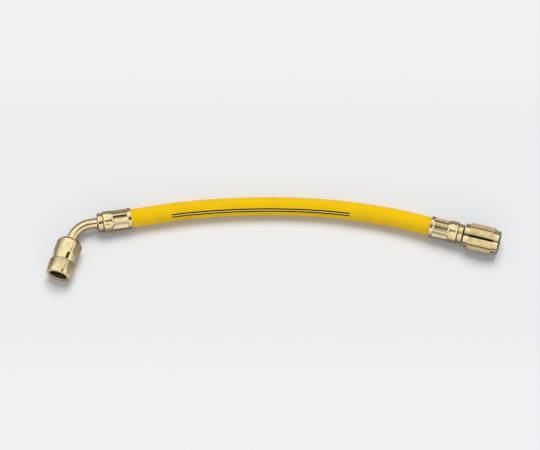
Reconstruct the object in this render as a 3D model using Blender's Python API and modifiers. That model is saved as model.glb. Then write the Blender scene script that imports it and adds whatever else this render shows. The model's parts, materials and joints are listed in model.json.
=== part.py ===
"""Connection hose with an elbow fitting at one end and a straight fitting at the other.

A yellow rubber hose is crimped on two barbed brass stems. The elbow end carries a bent
tube with a long hexagon nut, the straight end a knurled nut, and both nuts turn freely.
The hose lies on the floor as it comes to rest. Sizes are in metres, +Z is up and +X runs
from the elbow end to the straight end.
"""

import math

import bmesh
import bpy
from mathutils import Matrix, Vector

# Clearances
FIT_GAP = 0.0003
RUNNING_GAP = 0.0004

# Hose
HOSE_R = 0.00625
HOSE_BORE_R = 0.0028
HOSE_SQUEEZED_R = 0.0055
HOSE_SIDES_LEVEL = 4
HOSE_STEP = 0.010

# Middle stretch of the hose between its two ferrules, as it lies on the floor
HOSE_ROUTE = (
    (-0.0600, 0.0253, 0.00683),
    (-0.0240, 0.0282, 0.00638),
    (0.0100, 0.0285, 0.00627),
    (0.0440, 0.0260, 0.00660),
    (0.0780, 0.0203, 0.00736),
)

# Ferrules, measured from the lip on the hose side
LIP_LENGTH = 0.0022
LIP_R = 0.00725
LIP_MOUTH = 0.0010
LIP_TAPER = 0.0022
CRIMP_LENGTH = 0.0113
CRIMP_R = 0.00705
SHOULDER_LENGTH = 0.0058
SHOULDER_R = 0.0073
SHOULDER_ROUND = 0.0009
END_WALL = 0.0023
EDGE = 0.0003
JAW_COUNT = 8
JAW_R = 0.0080
CHANNEL_DEPTH = 0.0007
CHANNEL_RUNOUT = 0.0016
JAW_END_ANGLE = 34.0

# Barbed stems
STEM_BORE_R = 0.0015
TAIL_SETBACK = 0.0015
BARB_COUNT = 4
BARB_PITCH = 0.0032
BARB_ROOT_R = 0.0019
BARB_TIP_R = 0.0024
FLANGE_R = 0.0046
FLANGE_LENGTH = 0.0008
GROOVE_R = 0.0040
COLLAR_R = 0.00645
COLLAR_LENGTH = 0.0033

# Elbow tube
TUBE_R = 0.0035
TUBE_BORE_R = 0.0019
TUBE_SOCKET_WALL = 0.0006
TUBE_STRAIGHT = 0.0048
BEND_R = 0.0160
TUBE_TAIL = 0.0019
TUBE_SIDES_LEVEL = 8

# Seat heads, gaskets and core depressor
HEAD_R = 0.0046
HEAD_LENGTH = 0.0045
TUBE_IN_HEAD = 0.0030
NOSE_R = 0.0021
NOSE_LENGTH = 0.0011
GASKET_THICKNESS = 0.0016
PIN_R = 0.0006
PIN_REACH = 0.0040
BLADE_THICKNESS = 0.0005
BLADE_LENGTH = 0.0030

# Nut interiors
POCKET_R = 0.0050
THREAD_ROOT_R = 0.0056
THREAD_RELIEF = 0.0010
MOUTH_R = 0.0062

# Hexagon nut of the elbow end, measured from its rear face
HEX_SIDES = 6
HEX_FLATS = 0.0160
HEX_CORNER_R = 0.0088
HEX_REAR_R = 0.0064
HEX_REAR_CONE = 0.0027
HEX_REAR_BAND = 0.0080
HEX_WAIST = 0.0061
HEX_WAIST_STEP = 0.0007
HEX_WAIST_R = 0.0074
HEX_WAIST_REAR_R = 0.0083
HEX_FRONT_BAND = 0.0070
HEX_RING = 0.0032
HEX_RING_R = 0.0085
HEX_RING_ROUND = 0.0006
HEX_REAR_WALL = 0.0055

# Knurled nut of the straight end, measured from its rear face
NUT_GAP = 0.0011
REAR_BAND_R = 0.0078
REAR_BAND_LENGTH = 0.0033
KNURL_R = 0.0093
KNURL_LENGTH = 0.0170
FRONT_BAND_R = 0.0077
FRONT_BAND_LENGTH = 0.0037
KNURL_REAR_WALL = 0.0050
NECK_R = 0.0036
GROOVE_COUNT = 8
GROOVE_FLOOR_R = 0.0071
GROOVE_HALF_WIDTH = 0.0011

# Places and directions of the two ferrules at rest, angles in degrees
ELBOW_LIP_X = -0.09781
ELBOW_LIP_Y = 0.01913
ELBOW_AZIMUTH = 189.4
ELBOW_PITCH = 1.4
ELBOW_JAW_ROLL = 9.0
HEX_NUT_AZIMUTH = 252.0
STRAIGHT_LIP_X = 0.10624
STRAIGHT_LIP_Y = 0.01273
STRAIGHT_AZIMUTH = -15.6
STRAIGHT_PITCH = 2.1
STRAIGHT_JAW_ROLL = 1.5

# Facets
NUT_STEPS = 48
FERRULE_STEPS = 40
INNER_STEPS = 24
CUTTER_STEPS = 64
BEND_STEPS = 12
RUNOUT_STEPS = 4
ROUND_STEPS = 3
MERGE = 0.000005
SHARP_ANGLE = 32.0

# Sizes worked out from the ones above
FERRULE_LENGTH = LIP_LENGTH + CRIMP_LENGTH + SHOULDER_LENGTH
WALL_START = FERRULE_LENGTH - END_WALL
FLANGE_START = WALL_START - FIT_GAP - FLANGE_LENGTH
HOSE_DEPTH = FLANGE_START - FIT_GAP
COLLAR_START = FERRULE_LENGTH + FIT_GAP
COLLAR_END = COLLAR_START + COLLAR_LENGTH
SOCKET_START = COLLAR_START + TUBE_SOCKET_WALL
HEX_LENGTH = HEX_REAR_CONE + HEX_REAR_BAND + HEX_WAIST + HEX_FRONT_BAND + HEX_RING
KNURLED_LENGTH = REAR_BAND_LENGTH + KNURL_LENGTH + FRONT_BAND_LENGTH


def clear_scene():
    """Remove every object that the scene starts with."""
    for obj in list(bpy.data.objects):
        bpy.data.objects.remove(obj, do_unlink=True)


def new_collection(name, hidden):
    """Add a collection to the scene."""
    collection = bpy.data.collections.new(name)
    bpy.context.scene.collection.children.link(collection)
    collection.hide_render = hidden
    return collection


def new_material(name, colour, roughness, metallic):
    """Add a plain Principled BSDF material."""
    material = bpy.data.materials.new(name)
    material.use_nodes = True
    shader = material.node_tree.nodes["Principled BSDF"]
    shader.inputs["Base Color"].default_value = (*colour, 1.0)
    shader.inputs["Roughness"].default_value = roughness
    shader.inputs["Metallic"].default_value = metallic
    return material


def brass(name):
    """Pale polished brass for one sub-part."""
    return new_material(name + "_brass", (0.78, 0.62, 0.32), 0.22, 1.0)


def heading(azimuth, pitch):
    """Unit vector for an azimuth and a pitch in degrees."""
    a = math.radians(azimuth)
    p = math.radians(pitch)
    return Vector((math.cos(a) * math.cos(p), math.sin(a) * math.cos(p), math.sin(p)))


def axis_frame(origin, direction):
    """Frame with +Z along a direction and +Y as near to straight up as it can be."""
    z = direction.normalized()
    x = Vector((0.0, 0.0, 1.0)).cross(z).normalized()
    y = z.cross(x)
    frame = Matrix((x, y, z)).transposed().to_4x4()
    frame.translation = origin
    return frame


def link_mesh(name, mesh, frame, collection):
    """Put a mesh in the scene as an object at a frame."""
    obj = bpy.data.objects.new(name, mesh)
    obj.matrix_world = frame
    collection.objects.link(obj)
    return obj


def turned(name, outer, bore, steps, frame, collection):
    """Revolve an outline about the frame's Z axis.

    The outer side and the bore are (radius, height) points from low to high. Without a
    bore the outline closes on the axis.
    """
    outline = list(reversed(outer))
    if bore:
        outline += bore
    else:
        outline = [(0.0, outer[-1][1])] + outline + [(0.0, outer[0][1])]
    mesh = bpy.data.meshes.new(name)
    points = [(radius, 0.0, height) for radius, height in outline]
    edges = [(i, i + 1) for i in range(len(points) - 1)]
    if bore:
        edges.append((len(points) - 1, 0))
    mesh.from_pydata(points, edges, [])
    obj = link_mesh(name, mesh, frame, collection)
    screw = obj.modifiers.new("Revolve", "SCREW")
    screw.axis = "Z"
    screw.angle = math.tau
    screw.steps = steps
    screw.render_steps = steps
    screw.use_merge_vertices = True
    screw.merge_threshold = MERGE
    return obj


def swept(name, points, radii, sides_level, collection):
    """Round bar along points as a closed mesh, with its own radius at each point."""
    curve = bpy.data.curves.new(name, "CURVE")
    curve.dimensions = "3D"
    curve.bevel_depth = max(radii)
    curve.bevel_resolution = sides_level
    curve.use_fill_caps = True
    spline = curve.splines.new("POLY")
    spline.points.add(len(points) - 1)
    for knot, point, radius in zip(spline.points, points, radii):
        knot.co = (*point, 1.0)
        knot.radius = radius / curve.bevel_depth
    guide = bpy.data.objects.new(name + "_guide", curve)
    collection.objects.link(guide)
    obj = link_mesh(name, evaluated_mesh(guide), guide.matrix_world, collection)
    bpy.data.objects.remove(guide, do_unlink=True)
    return obj


def evaluated_mesh(obj):
    """Mesh of an object with its modifiers applied and its loose caps welded."""
    depsgraph = bpy.context.evaluated_depsgraph_get()
    depsgraph.update()
    mesh = bpy.data.meshes.new_from_object(obj.evaluated_get(depsgraph))
    work = bmesh.new()
    work.from_mesh(mesh)
    bmesh.ops.remove_doubles(work, verts=work.verts, dist=MERGE)
    work.to_mesh(mesh)
    work.free()
    return mesh


def boolean(obj, tool, operation):
    """Combine an object with a tool body by an exact Boolean."""
    modifier = obj.modifiers.new(operation.title(), "BOOLEAN")
    modifier.operation = operation
    modifier.solver = "EXACT"
    modifier.object = tool


def as_cutter(obj):
    """Mark an object as a tool body that is not part of the hose."""
    obj.hide_render = True
    obj.display_type = "WIRE"
    return obj


def finish(obj, material):
    """Apply the modifiers, shade the round faces smooth and set the material."""
    mesh = evaluated_mesh(obj)
    mesh.name = obj.name
    mesh.materials.clear()
    mesh.materials.append(material)
    mesh.shade_smooth()
    mesh.set_sharp_from_angle(angle=math.radians(SHARP_ANGLE))
    obj.modifiers.clear()
    obj.data = mesh
    return obj


def elbow_layout():
    """Frames of the elbow end: its ferrule, its nut, and the path between them."""
    first = heading(ELBOW_AZIMUTH, ELBOW_PITCH)
    second = heading(HEX_NUT_AZIMUTH, 0.0)
    turn = first.angle(second)
    tangent = BEND_R * math.tan(0.5 * turn)
    run = COLLAR_END + TUBE_STRAIGHT + tangent
    lip_z = HEX_RING_R - run * first.z
    lip = Vector((ELBOW_LIP_X, ELBOW_LIP_Y, lip_z))
    corner = lip + run * first
    centre = corner + (second - first).normalized() * (BEND_R / math.cos(0.5 * turn))
    start = corner - tangent * first
    arm = start - centre
    bend = []
    for k in range(BEND_STEPS + 1):
        angle = turn * k / BEND_STEPS
        bend.append(centre + arm * math.cos(angle) + first * (BEND_R * math.sin(angle)))
    nut_rear = corner + (tangent + TUBE_TAIL) * second
    return axis_frame(lip, first), axis_frame(nut_rear, second), bend


def straight_layout():
    """Frames of the straight end: its ferrule and its nut."""
    direction = heading(STRAIGHT_AZIMUTH, STRAIGHT_PITCH)
    nut_start = COLLAR_END + NUT_GAP
    level = math.hypot(direction.x, direction.y)
    lip_z = KNURL_R * level - (nut_start + REAR_BAND_LENGTH) * direction.z
    lip = Vector((STRAIGHT_LIP_X, STRAIGHT_LIP_Y, lip_z))
    return axis_frame(lip, direction), axis_frame(lip + nut_start * direction, direction)


def smooth_route(start, start_way, knots, end, end_way):
    """Points along a smooth curve through the knots that leaves both ends straight."""
    stops = [start] + [Vector(knot) for knot in knots] + [end]
    slopes = []
    for before, here, after in zip(stops, stops[1:], stops[2:]):
        slopes.append(0.5 * (after - before))
    first_span = (stops[1] - stops[0]).length
    last_span = (stops[-1] - stops[-2]).length
    slopes = [start_way * first_span] + slopes + [end_way * last_span]
    points = []
    for low, high, rise, fall in zip(stops, stops[1:], slopes, slopes[1:]):
        pieces = max(1, round((high - low).length / HOSE_STEP))
        for k in range(pieces):
            t = k / pieces
            a = (1.0 + 2.0 * t) * (1.0 - t) ** 2
            b = t * (1.0 - t) ** 2
            c = t * t * (3.0 - 2.0 * t)
            d = t * t * (t - 1.0)
            points.append(low * a + rise * b + high * c + fall * d)
    return points


def hose_line(elbow_frame, straight_frame):
    """Centre line of the hose and its outer radius at each point."""
    stations = (HOSE_DEPTH, LIP_MOUTH + LIP_TAPER, LIP_MOUTH)
    radii = (HOSE_SQUEEZED_R, HOSE_SQUEEZED_R, HOSE_R)
    inlet = [elbow_frame @ Vector((0.0, 0.0, s)) for s in stations]
    outlet = [straight_frame @ Vector((0.0, 0.0, s)) for s in reversed(stations)]
    start_way = -elbow_frame.to_3x3().col[2]
    end_way = straight_frame.to_3x3().col[2]
    free = smooth_route(
        elbow_frame.translation, start_way, HOSE_ROUTE, straight_frame.translation, end_way,
    )
    free.append(straight_frame.translation.copy())
    line = inlet + free + outlet
    sizes = list(radii) + [HOSE_R] * len(free) + list(reversed(radii))
    return line, sizes


def extended(line, reach):
    """The same line with both ends carried on by a reach."""
    first = line[0] + (line[0] - line[1]).normalized() * reach
    last = line[-1] + (line[-1] - line[-2]).normalized() * reach
    return [first] + line[1:-1] + [last]


def make_hose(elbow_frame, straight_frame, parts, cutters):
    """Hose tube with its bore, squeezed inside both ferrules."""
    line, radii = hose_line(elbow_frame, straight_frame)
    hose = swept("hose", line, radii, HOSE_SIDES_LEVEL, parts)
    bore_line = extended(line, HOSE_STEP)
    bore_radii = [HOSE_BORE_R] * len(bore_line)
    bore = as_cutter(swept("hose_bore", bore_line, bore_radii, HOSE_SIDES_LEVEL, cutters))
    boolean(hose, bore, "DIFFERENCE")
    finish(hose, new_material("hose_yellow", (0.90, 0.53, 0.005), 0.42, 0.0))


def jaw_cutter(name, frame, angle, cutters):
    """Round jaw that presses one channel into a ferrule, with a rounded end."""
    round_start = LIP_LENGTH + CRIMP_LENGTH - CHANNEL_RUNOUT
    leaving = math.acos(1.0 - CHANNEL_DEPTH / JAW_R)
    end_length = CHANNEL_RUNOUT / math.sin(leaving)
    outline = [(JAW_R, LIP_LENGTH)]
    for k in range(RUNOUT_STEPS + 1):
        a = math.radians(JAW_END_ANGLE) * k / RUNOUT_STEPS
        outline.append((JAW_R * math.cos(a), round_start + end_length * math.sin(a)))
    offset = CRIMP_R - CHANNEL_DEPTH + JAW_R
    place = Matrix.Rotation(angle, 4, "Z") @ Matrix.Translation((0.0, offset, 0.0))
    jaw = turned(name, outline, [], CUTTER_STEPS, frame @ place, cutters)
    return as_cutter(jaw)


def make_ferrule(name, frame, roll, parts, cutters):
    """Crimped sleeve that holds the hose on its stem."""
    crimp_start = LIP_LENGTH
    shoulder_start = LIP_LENGTH + CRIMP_LENGTH
    outer = [
        (LIP_R - EDGE, 0.0),
        (LIP_R, EDGE),
        (LIP_R, crimp_start),
        (CRIMP_R, crimp_start + EDGE),
        (CRIMP_R, shoulder_start),
        (SHOULDER_R, shoulder_start + SHOULDER_ROUND),
    ]
    for k in range(ROUND_STEPS + 1):
        a = 0.5 * math.pi * k / ROUND_STEPS
        radius = SHOULDER_R - SHOULDER_ROUND * (1.0 - math.cos(a))
        height = FERRULE_LENGTH - SHOULDER_ROUND * (1.0 - math.sin(a))
        outer.append((radius, height))
    pocket_r = HOSE_SQUEEZED_R + FIT_GAP
    bore = [
        (HOSE_R + FIT_GAP, 0.0),
        (HOSE_R + FIT_GAP, LIP_MOUTH),
        (pocket_r, LIP_MOUTH + LIP_TAPER),
        (pocket_r, WALL_START),
        (GROOVE_R + FIT_GAP, WALL_START),
        (GROOVE_R + FIT_GAP, FERRULE_LENGTH),
    ]
    ferrule = turned(name, outer, bore, FERRULE_STEPS, frame, parts)
    for k in range(JAW_COUNT):
        angle = math.radians(roll) + math.tau * (k + 0.5) / JAW_COUNT
        jaw = jaw_cutter(name + "_jaw_" + str(k), frame, angle, cutters)
        boolean(ferrule, jaw, "DIFFERENCE")
    finish(ferrule, brass(name))


def barbed_outline():
    """Outer side of a stem from its tail to the end of its collar."""
    outline = []
    for k in range(BARB_COUNT):
        root = TAIL_SETBACK + k * BARB_PITCH
        outline.append((BARB_ROOT_R, root))
        outline.append((BARB_TIP_R, root + 0.8 * BARB_PITCH))
    outline += [
        (BARB_ROOT_R, TAIL_SETBACK + BARB_COUNT * BARB_PITCH),
        (BARB_ROOT_R, FLANGE_START),
        (FLANGE_R, FLANGE_START),
        (FLANGE_R, FLANGE_START + FLANGE_LENGTH),
        (GROOVE_R, FLANGE_START + FLANGE_LENGTH),
        (GROOVE_R, COLLAR_START),
        (COLLAR_R - EDGE, COLLAR_START),
        (COLLAR_R, COLLAR_START + EDGE),
        (COLLAR_R, COLLAR_END - EDGE),
        (COLLAR_R - EDGE, COLLAR_END),
    ]
    return outline


def head_outline(rear):
    """Outer side of a seat head and its nose from the head's rear face."""
    front = rear + HEAD_LENGTH
    return [
        (HEAD_R, rear),
        (HEAD_R, front - EDGE),
        (HEAD_R - EDGE, front),
        (NOSE_R, front),
        (NOSE_R, front + NOSE_LENGTH),
    ]


def make_elbow_nipple(frame, parts):
    """Barbed stem of the elbow end with the socket that the bent tube is brazed into."""
    socket_r = TUBE_R + FIT_GAP
    bore = [
        (STEM_BORE_R, TAIL_SETBACK),
        (STEM_BORE_R, SOCKET_START),
        (socket_r, SOCKET_START),
        (socket_r, COLLAR_END),
    ]
    nipple = turned("elbow_nipple", barbed_outline(), bore, INNER_STEPS, frame, parts)
    finish(nipple, brass("elbow_nipple"))


def make_elbow_tube(frame, nut_frame, bend, parts, cutters):
    """Bent tube between the nipple's socket and the seat head."""
    start = frame @ Vector((0.0, 0.0, SOCKET_START + FIT_GAP))
    head_rear = HEX_REAR_WALL + FIT_GAP
    end = nut_frame @ Vector((0.0, 0.0, head_rear + TUBE_IN_HEAD))
    line = [start] + bend + [end]
    tube = swept("elbow_tube", line, [TUBE_R] * len(line), TUBE_SIDES_LEVEL, parts)
    bore_line = extended(line, TUBE_R)
    bore_radii = [TUBE_BORE_R] * len(bore_line)
    bore = as_cutter(swept("elbow_tube_bore", bore_line, bore_radii, HOSE_SIDES_LEVEL, cutters))
    boolean(tube, bore, "DIFFERENCE")
    finish(tube, brass("elbow_tube"))


def make_elbow_seat(nut_frame, parts):
    """Seat head brazed on the tube, which keeps the hexagon nut from coming off."""
    rear = HEX_REAR_WALL + FIT_GAP
    socket_r = TUBE_R + FIT_GAP
    socket_end = rear + TUBE_IN_HEAD + FIT_GAP
    outer = head_outline(rear)
    bore = [
        (socket_r, rear),
        (socket_r, socket_end),
        (STEM_BORE_R, socket_end),
        (STEM_BORE_R, outer[-1][1]),
    ]
    seat = turned("elbow_seat", outer, bore, INNER_STEPS, nut_frame, parts)
    finish(seat, brass("elbow_seat"))


def make_gasket(name, nut_frame, head_rear, parts):
    """Rubber ring around the nose of a seat head."""
    low = head_rear + HEAD_LENGTH + FIT_GAP
    high = low + GASKET_THICKNESS
    hole_r = NOSE_R + FIT_GAP
    gasket = turned(
        name, [(HEAD_R, low), (HEAD_R, high)], [(hole_r, low), (hole_r, high)],
        INNER_STEPS, nut_frame, parts,
    )
    finish(gasket, new_material(name + "_rubber", (0.02, 0.02, 0.02), 0.6, 0.0))


def box_between(name, half_x, half_y, low, high, frame, collection):
    """Box centred on the frame's Z axis."""
    mesh = bpy.data.meshes.new(name)
    work = bmesh.new()
    size = Matrix.Diagonal((2.0 * half_x, 2.0 * half_y, high - low, 1.0))
    lift = Matrix.Translation((0.0, 0.0, 0.5 * (low + high)))
    bmesh.ops.create_cube(work, size=1.0, matrix=lift @ size)
    work.to_mesh(mesh)
    work.free()
    return link_mesh(name, mesh, frame, collection)


def make_depressor(nut_frame, parts, cutters):
    """Pin on a crossed blade that opens the valve core of what is screwed in."""
    front = HEX_REAR_WALL + FIT_GAP + HEAD_LENGTH + NOSE_LENGTH
    blade_end = front - EDGE
    blade_start = blade_end - BLADE_LENGTH
    half = STEM_BORE_R - FIT_GAP
    outline = [
        (PIN_R, blade_start),
        (PIN_R, front + PIN_REACH - PIN_R),
        (0.5 * PIN_R, front + PIN_REACH),
    ]
    pin = turned("elbow_core_depressor", outline, [], INNER_STEPS, nut_frame, parts)
    thick = 0.5 * BLADE_THICKNESS
    for k, (half_x, half_y) in enumerate(((half, thick), (thick, half))):
        blade = box_between(
            "depressor_blade_" + str(k), half_x, half_y, blade_start + k * thick,
            blade_end, nut_frame, cutters,
        )
        boolean(pin, as_cutter(blade), "UNION")
    finish(pin, brass("elbow_core_depressor"))


def nut_bore(hole_r, rear_wall, length):
    """Inside of a nut: rear hole, pocket for the seat head, thread root and mouth."""
    gasket_front = rear_wall + 2.0 * FIT_GAP + HEAD_LENGTH + GASKET_THICKNESS
    return [
        (hole_r, 0.0),
        (hole_r, rear_wall),
        (POCKET_R, rear_wall),
        (POCKET_R, gasket_front),
        (THREAD_ROOT_R, gasket_front + THREAD_RELIEF),
        (THREAD_ROOT_R, length - (MOUTH_R - THREAD_ROOT_R)),
        (MOUTH_R, length),
    ]


def make_hexagon_nut(nut_frame, parts, cutters):
    """Long hexagon nut with a turned waist, free to spin on the elbow tube."""
    rear_band = HEX_REAR_CONE
    waist = rear_band + HEX_REAR_BAND
    front_band = waist + HEX_WAIST
    ring = front_band + HEX_FRONT_BAND
    outer = [
        (HEX_REAR_R, 0.0),
        (HEX_CORNER_R, rear_band),
        (HEX_CORNER_R, waist),
        (HEX_WAIST_REAR_R, waist + EDGE),
        (HEX_WAIST_R, front_band - HEX_WAIST_STEP),
        (HEX_CORNER_R, front_band),
        (HEX_CORNER_R, ring - EDGE),
        (HEX_RING_R, ring),
        (HEX_RING_R, HEX_LENGTH - HEX_RING_ROUND),
        (HEX_RING_R - 0.4 * HEX_RING_ROUND, HEX_LENGTH - 0.4 * HEX_RING_ROUND),
        (HEX_RING_R - HEX_RING_ROUND, HEX_LENGTH),
    ]
    bore = nut_bore(TUBE_R + RUNNING_GAP, HEX_REAR_WALL, HEX_LENGTH)
    nut = turned("elbow_nut", outer, bore, NUT_STEPS, nut_frame, parts)
    depth = HEX_CORNER_R - 0.5 * HEX_FLATS + EDGE
    for k in range(HEX_SIDES):
        turn = Matrix.Rotation(math.tau * k / HEX_SIDES, 4, "Z")
        side = Matrix.Translation((0.0, 0.5 * (HEX_FLATS + depth), 0.0))
        flat = box_between(
            "hexagon_flat_" + str(k), HEX_CORNER_R, 0.5 * depth, -EDGE, ring,
            nut_frame @ turn @ side, cutters,
        )
        boolean(nut, as_cutter(flat), "DIFFERENCE")
    finish(nut, brass("elbow_nut"))


def make_straight_stem(frame, nut_start, parts):
    """One-piece stem of the straight end: barbs, groove, collar, neck and seat head."""
    head_rear = nut_start + KNURL_REAR_WALL + FIT_GAP
    outer = barbed_outline()
    outer.append((NECK_R, COLLAR_END))
    outer.append((NECK_R, head_rear))
    outer += head_outline(head_rear)
    bore = [(STEM_BORE_R, TAIL_SETBACK), (STEM_BORE_R, outer[-1][1])]
    stem = turned("straight_stem", outer, bore, INNER_STEPS, frame, parts)
    finish(stem, brass("straight_stem"))


def make_knurled_nut(nut_frame, parts, cutters):
    """Finger nut with a raised knurled band and lengthwise grooves."""
    knurl_start = REAR_BAND_LENGTH
    knurl_end = REAR_BAND_LENGTH + KNURL_LENGTH
    outer = [
        (REAR_BAND_R - EDGE, 0.0),
        (REAR_BAND_R, EDGE),
        (REAR_BAND_R, knurl_start),
        (KNURL_R, knurl_start),
        (KNURL_R, knurl_end - EDGE),
        (KNURL_R - EDGE, knurl_end),
        (FRONT_BAND_R, knurl_end),
        (FRONT_BAND_R, KNURLED_LENGTH - EDGE),
        (FRONT_BAND_R - EDGE, KNURLED_LENGTH),
    ]
    bore = nut_bore(NECK_R + RUNNING_GAP, KNURL_REAR_WALL, KNURLED_LENGTH)
    nut = turned("straight_nut", outer, bore, NUT_STEPS, nut_frame, parts)
    depth = KNURL_R - GROOVE_FLOOR_R
    for k in range(GROOVE_COUNT):
        angle = math.tau * (k + 0.5) / GROOVE_COUNT
        squeeze = Matrix.Diagonal((GROOVE_HALF_WIDTH / depth, 1.0, 1.0, 1.0))
        place = Matrix.Rotation(angle, 4, "Z") @ Matrix.Translation((0.0, KNURL_R, 0.0))
        mesh = bpy.data.meshes.new("groove_" + str(k))
        work = bmesh.new()
        lift = Matrix.Translation((0.0, 0.0, 0.5 * KNURLED_LENGTH))
        bmesh.ops.create_cone(
            work, cap_ends=True, segments=4, radius1=depth, radius2=depth,
            depth=KNURLED_LENGTH + 2.0 * EDGE, matrix=place @ squeeze @ lift,
        )
        work.to_mesh(mesh)
        work.free()
        groove = as_cutter(link_mesh(mesh.name, mesh, nut_frame, cutters))
        boolean(nut, groove, "DIFFERENCE")
    finish(nut, brass("straight_nut"))


def main():
    """Build the connection hose."""
    clear_scene()
    parts = new_collection("connection_hose", False)
    cutters = new_collection("cutters", True)
    elbow, hex_nut, bend = elbow_layout()
    straight, knurled_nut = straight_layout()
    nut_start = COLLAR_END + NUT_GAP
    make_hose(elbow, straight, parts, cutters)
    make_ferrule("elbow_ferrule", elbow, ELBOW_JAW_ROLL, parts, cutters)
    make_elbow_nipple(elbow, parts)
    make_elbow_tube(elbow, hex_nut, bend, parts, cutters)
    make_elbow_seat(hex_nut, parts)
    make_gasket("elbow_gasket", hex_nut, HEX_REAR_WALL + FIT_GAP, parts)
    make_depressor(hex_nut, parts, cutters)
    make_hexagon_nut(hex_nut, parts, cutters)
    make_ferrule("straight_ferrule", straight, STRAIGHT_JAW_ROLL, parts, cutters)
    make_straight_stem(straight, nut_start, parts)
    make_gasket("straight_gasket", knurled_nut, KNURL_REAR_WALL + FIT_GAP, parts)
    make_knurled_nut(knurled_nut, parts, cutters)


main()
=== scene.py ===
"""Looks of the connection hose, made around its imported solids.

Every piece that shows gets its fine surface here: the printed rubber hose, the crimped
sleeves, the turned collars and nuts, the bent tube, the knurl and the threads. Sizes are in
metres in the frame of the solids: +Z is up and +X runs from the elbow end to the straight
end.
"""

import json
import math

import bmesh
import bpy
import numpy as np
from bpy.props import (
    FloatProperty,
    FloatVectorProperty,
    IntProperty,
    PointerProperty,
)
from mathutils import Matrix, Vector


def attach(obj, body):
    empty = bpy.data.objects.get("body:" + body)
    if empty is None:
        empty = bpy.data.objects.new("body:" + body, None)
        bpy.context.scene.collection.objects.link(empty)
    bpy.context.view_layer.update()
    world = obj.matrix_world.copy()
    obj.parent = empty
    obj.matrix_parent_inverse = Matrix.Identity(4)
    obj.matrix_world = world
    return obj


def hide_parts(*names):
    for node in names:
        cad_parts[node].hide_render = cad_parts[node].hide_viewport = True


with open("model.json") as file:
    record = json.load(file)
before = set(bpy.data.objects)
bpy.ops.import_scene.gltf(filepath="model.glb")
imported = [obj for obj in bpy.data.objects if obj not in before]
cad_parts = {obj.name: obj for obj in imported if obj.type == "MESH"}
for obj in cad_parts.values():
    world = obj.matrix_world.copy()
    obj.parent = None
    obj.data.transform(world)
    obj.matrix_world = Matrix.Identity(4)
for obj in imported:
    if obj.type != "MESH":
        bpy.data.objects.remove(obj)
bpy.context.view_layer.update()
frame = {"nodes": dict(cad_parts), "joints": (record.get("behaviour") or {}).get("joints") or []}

bl_info = {
    "name": "Connection Hose",
    "version": (1, 0, 0),
    "blender": (4, 5, 0),
    "location": "3D View > Sidebar > Connection Hose",
    "description": "Dresses the solids of a connection hose with its finishes",
    "category": "Object",
}

# Gap between fixed pieces, gap where a nut turns, and rounding of a plain edge
FIT_GAP = 0.0003
RUNNING_GAP = 0.0004
EDGE = 0.0003

# Middle stretch of the hose between its two sleeves, as it lies on the floor
HOSE_ROUTE = (
    (-0.0600, 0.0253, 0.00683),
    (-0.0240, 0.0282, 0.00638),
    (0.0100, 0.0285, 0.00627),
    (0.0440, 0.0260, 0.00660),
    (0.0780, 0.0203, 0.00736),
)
ROUTE_STEP = 0.010
HOSE_STEP = 0.001

# Lips of the two sleeves, where the hose goes in, with azimuth and pitch in degrees
ELBOW_LIP = (-0.09781, 0.01913, 0.007586)
ELBOW_AZIMUTH = 189.4
ELBOW_PITCH = 1.4
ELBOW_JAW_ROLL = 9.0
STRAIGHT_LIP = (0.10624, 0.01273, 0.008293)
STRAIGHT_AZIMUTH = -15.6
STRAIGHT_PITCH = 2.1
STRAIGHT_JAW_ROLL = -3.0

# What a corner of a turned outline does where it stands above the flat or groove
STAY = 0
SINK = 1
SLIDE_BACK = 2
SLIDE_ON = 3

# Sides of round pieces, angles in degrees that decide facets, and what counts as one point
HOSE_SIDES = 64
ROUND_SIDES = 96
TUBE_SIDES = 72
ROUND_ANGLE = 25.0
SHARP_ANGLE = 40.0
MERGE = 0.0000005

# What the materials read from a mesh: its UV map, and a mask from 0 to 1 of painted shade and a
# brown coat of oil
UV_NAME = "Surface"
SHADE_AND_GRIME_NAME = "ShadeAndGrime"

# Columns of points round a piece, over each stretch of its repeating shape
CHANNEL_COLUMNS = 9
RIDGE_COLUMNS = 4
FLAT_COLUMNS = 17
CORNER_COLUMNS = 6
LOBE_COLUMNS = 12

# Steps of a rounded edge, of the tube's bend and of one turn of a thread, and the angle in
# degrees from which an edge is rounded
BEVEL_STEPS = 3
BEVEL_ANGLE = 14.0
BEND_STEPS = 48
THREAD_STEPS = 48

# Rounding and barbs of the turned pieces, where the slope is a share of a barb's pitch
LARGEST_ROUNDING = 0.45
FINE_EDGE = 0.0001
BARB_EDGE = 0.00008
BARB_SLOPE = 0.8

# Crimped sleeves: spacing of their outline, blends, and how the jaws lift at lip and end
SLEEVE_STEP = 0.00022
SHOULDER_BLEND = 0.0015
PETAL_BLEND = 5.0 * EDGE
PETAL_SHARPNESS = 1.5
LIP_BLEND = 2.0 * EDGE
JAW_LIFT = 1.3
JAW_REACH = 0.99

# How deep the knurl's points sink in, how fast a thread rises, and how it starts and stops
KNURL_SINK = 0.2
RUN_IN = 4.0
THREAD_TIP = 0.15
THREAD_SETBACK = 0.2

# Numbers of the sockets of a node that mixes colours
MIX_FACTOR = 0
MIX_FIRST = 6
MIX_SECOND = 7
MIX_RESULT = 2

# Kinds of sockets in node groups
VALUE = "NodeSocketFloat"
VECTOR = "NodeSocketVector"
GEOMETRY = "NodeSocketGeometry"
MATERIAL = "NodeSocketMaterial"
NUMBER_SOCKETS = {float: VALUE, int: "NodeSocketInt"}

# Marks on the brass: where patina starts and is full, and how much each mark dulls or lifts
PATINA_STEP = (0.42, 0.68)
PATINA_DULLING = 0.08
FILM_DULLING = 0.2
SCRATCH_DULLING = 0.07
SCRATCH_WIDTH = 0.02
SCRATCH_LEAN = 0.3
SCRATCH_TIP = 0.2
BRASS_GRAIN = 0.15
BROAD_RINGS = 0.23
# Painted shade in the step up from the waist, as a share of the shade along the flats' edges
STEP_SHADE = 0.6

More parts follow.
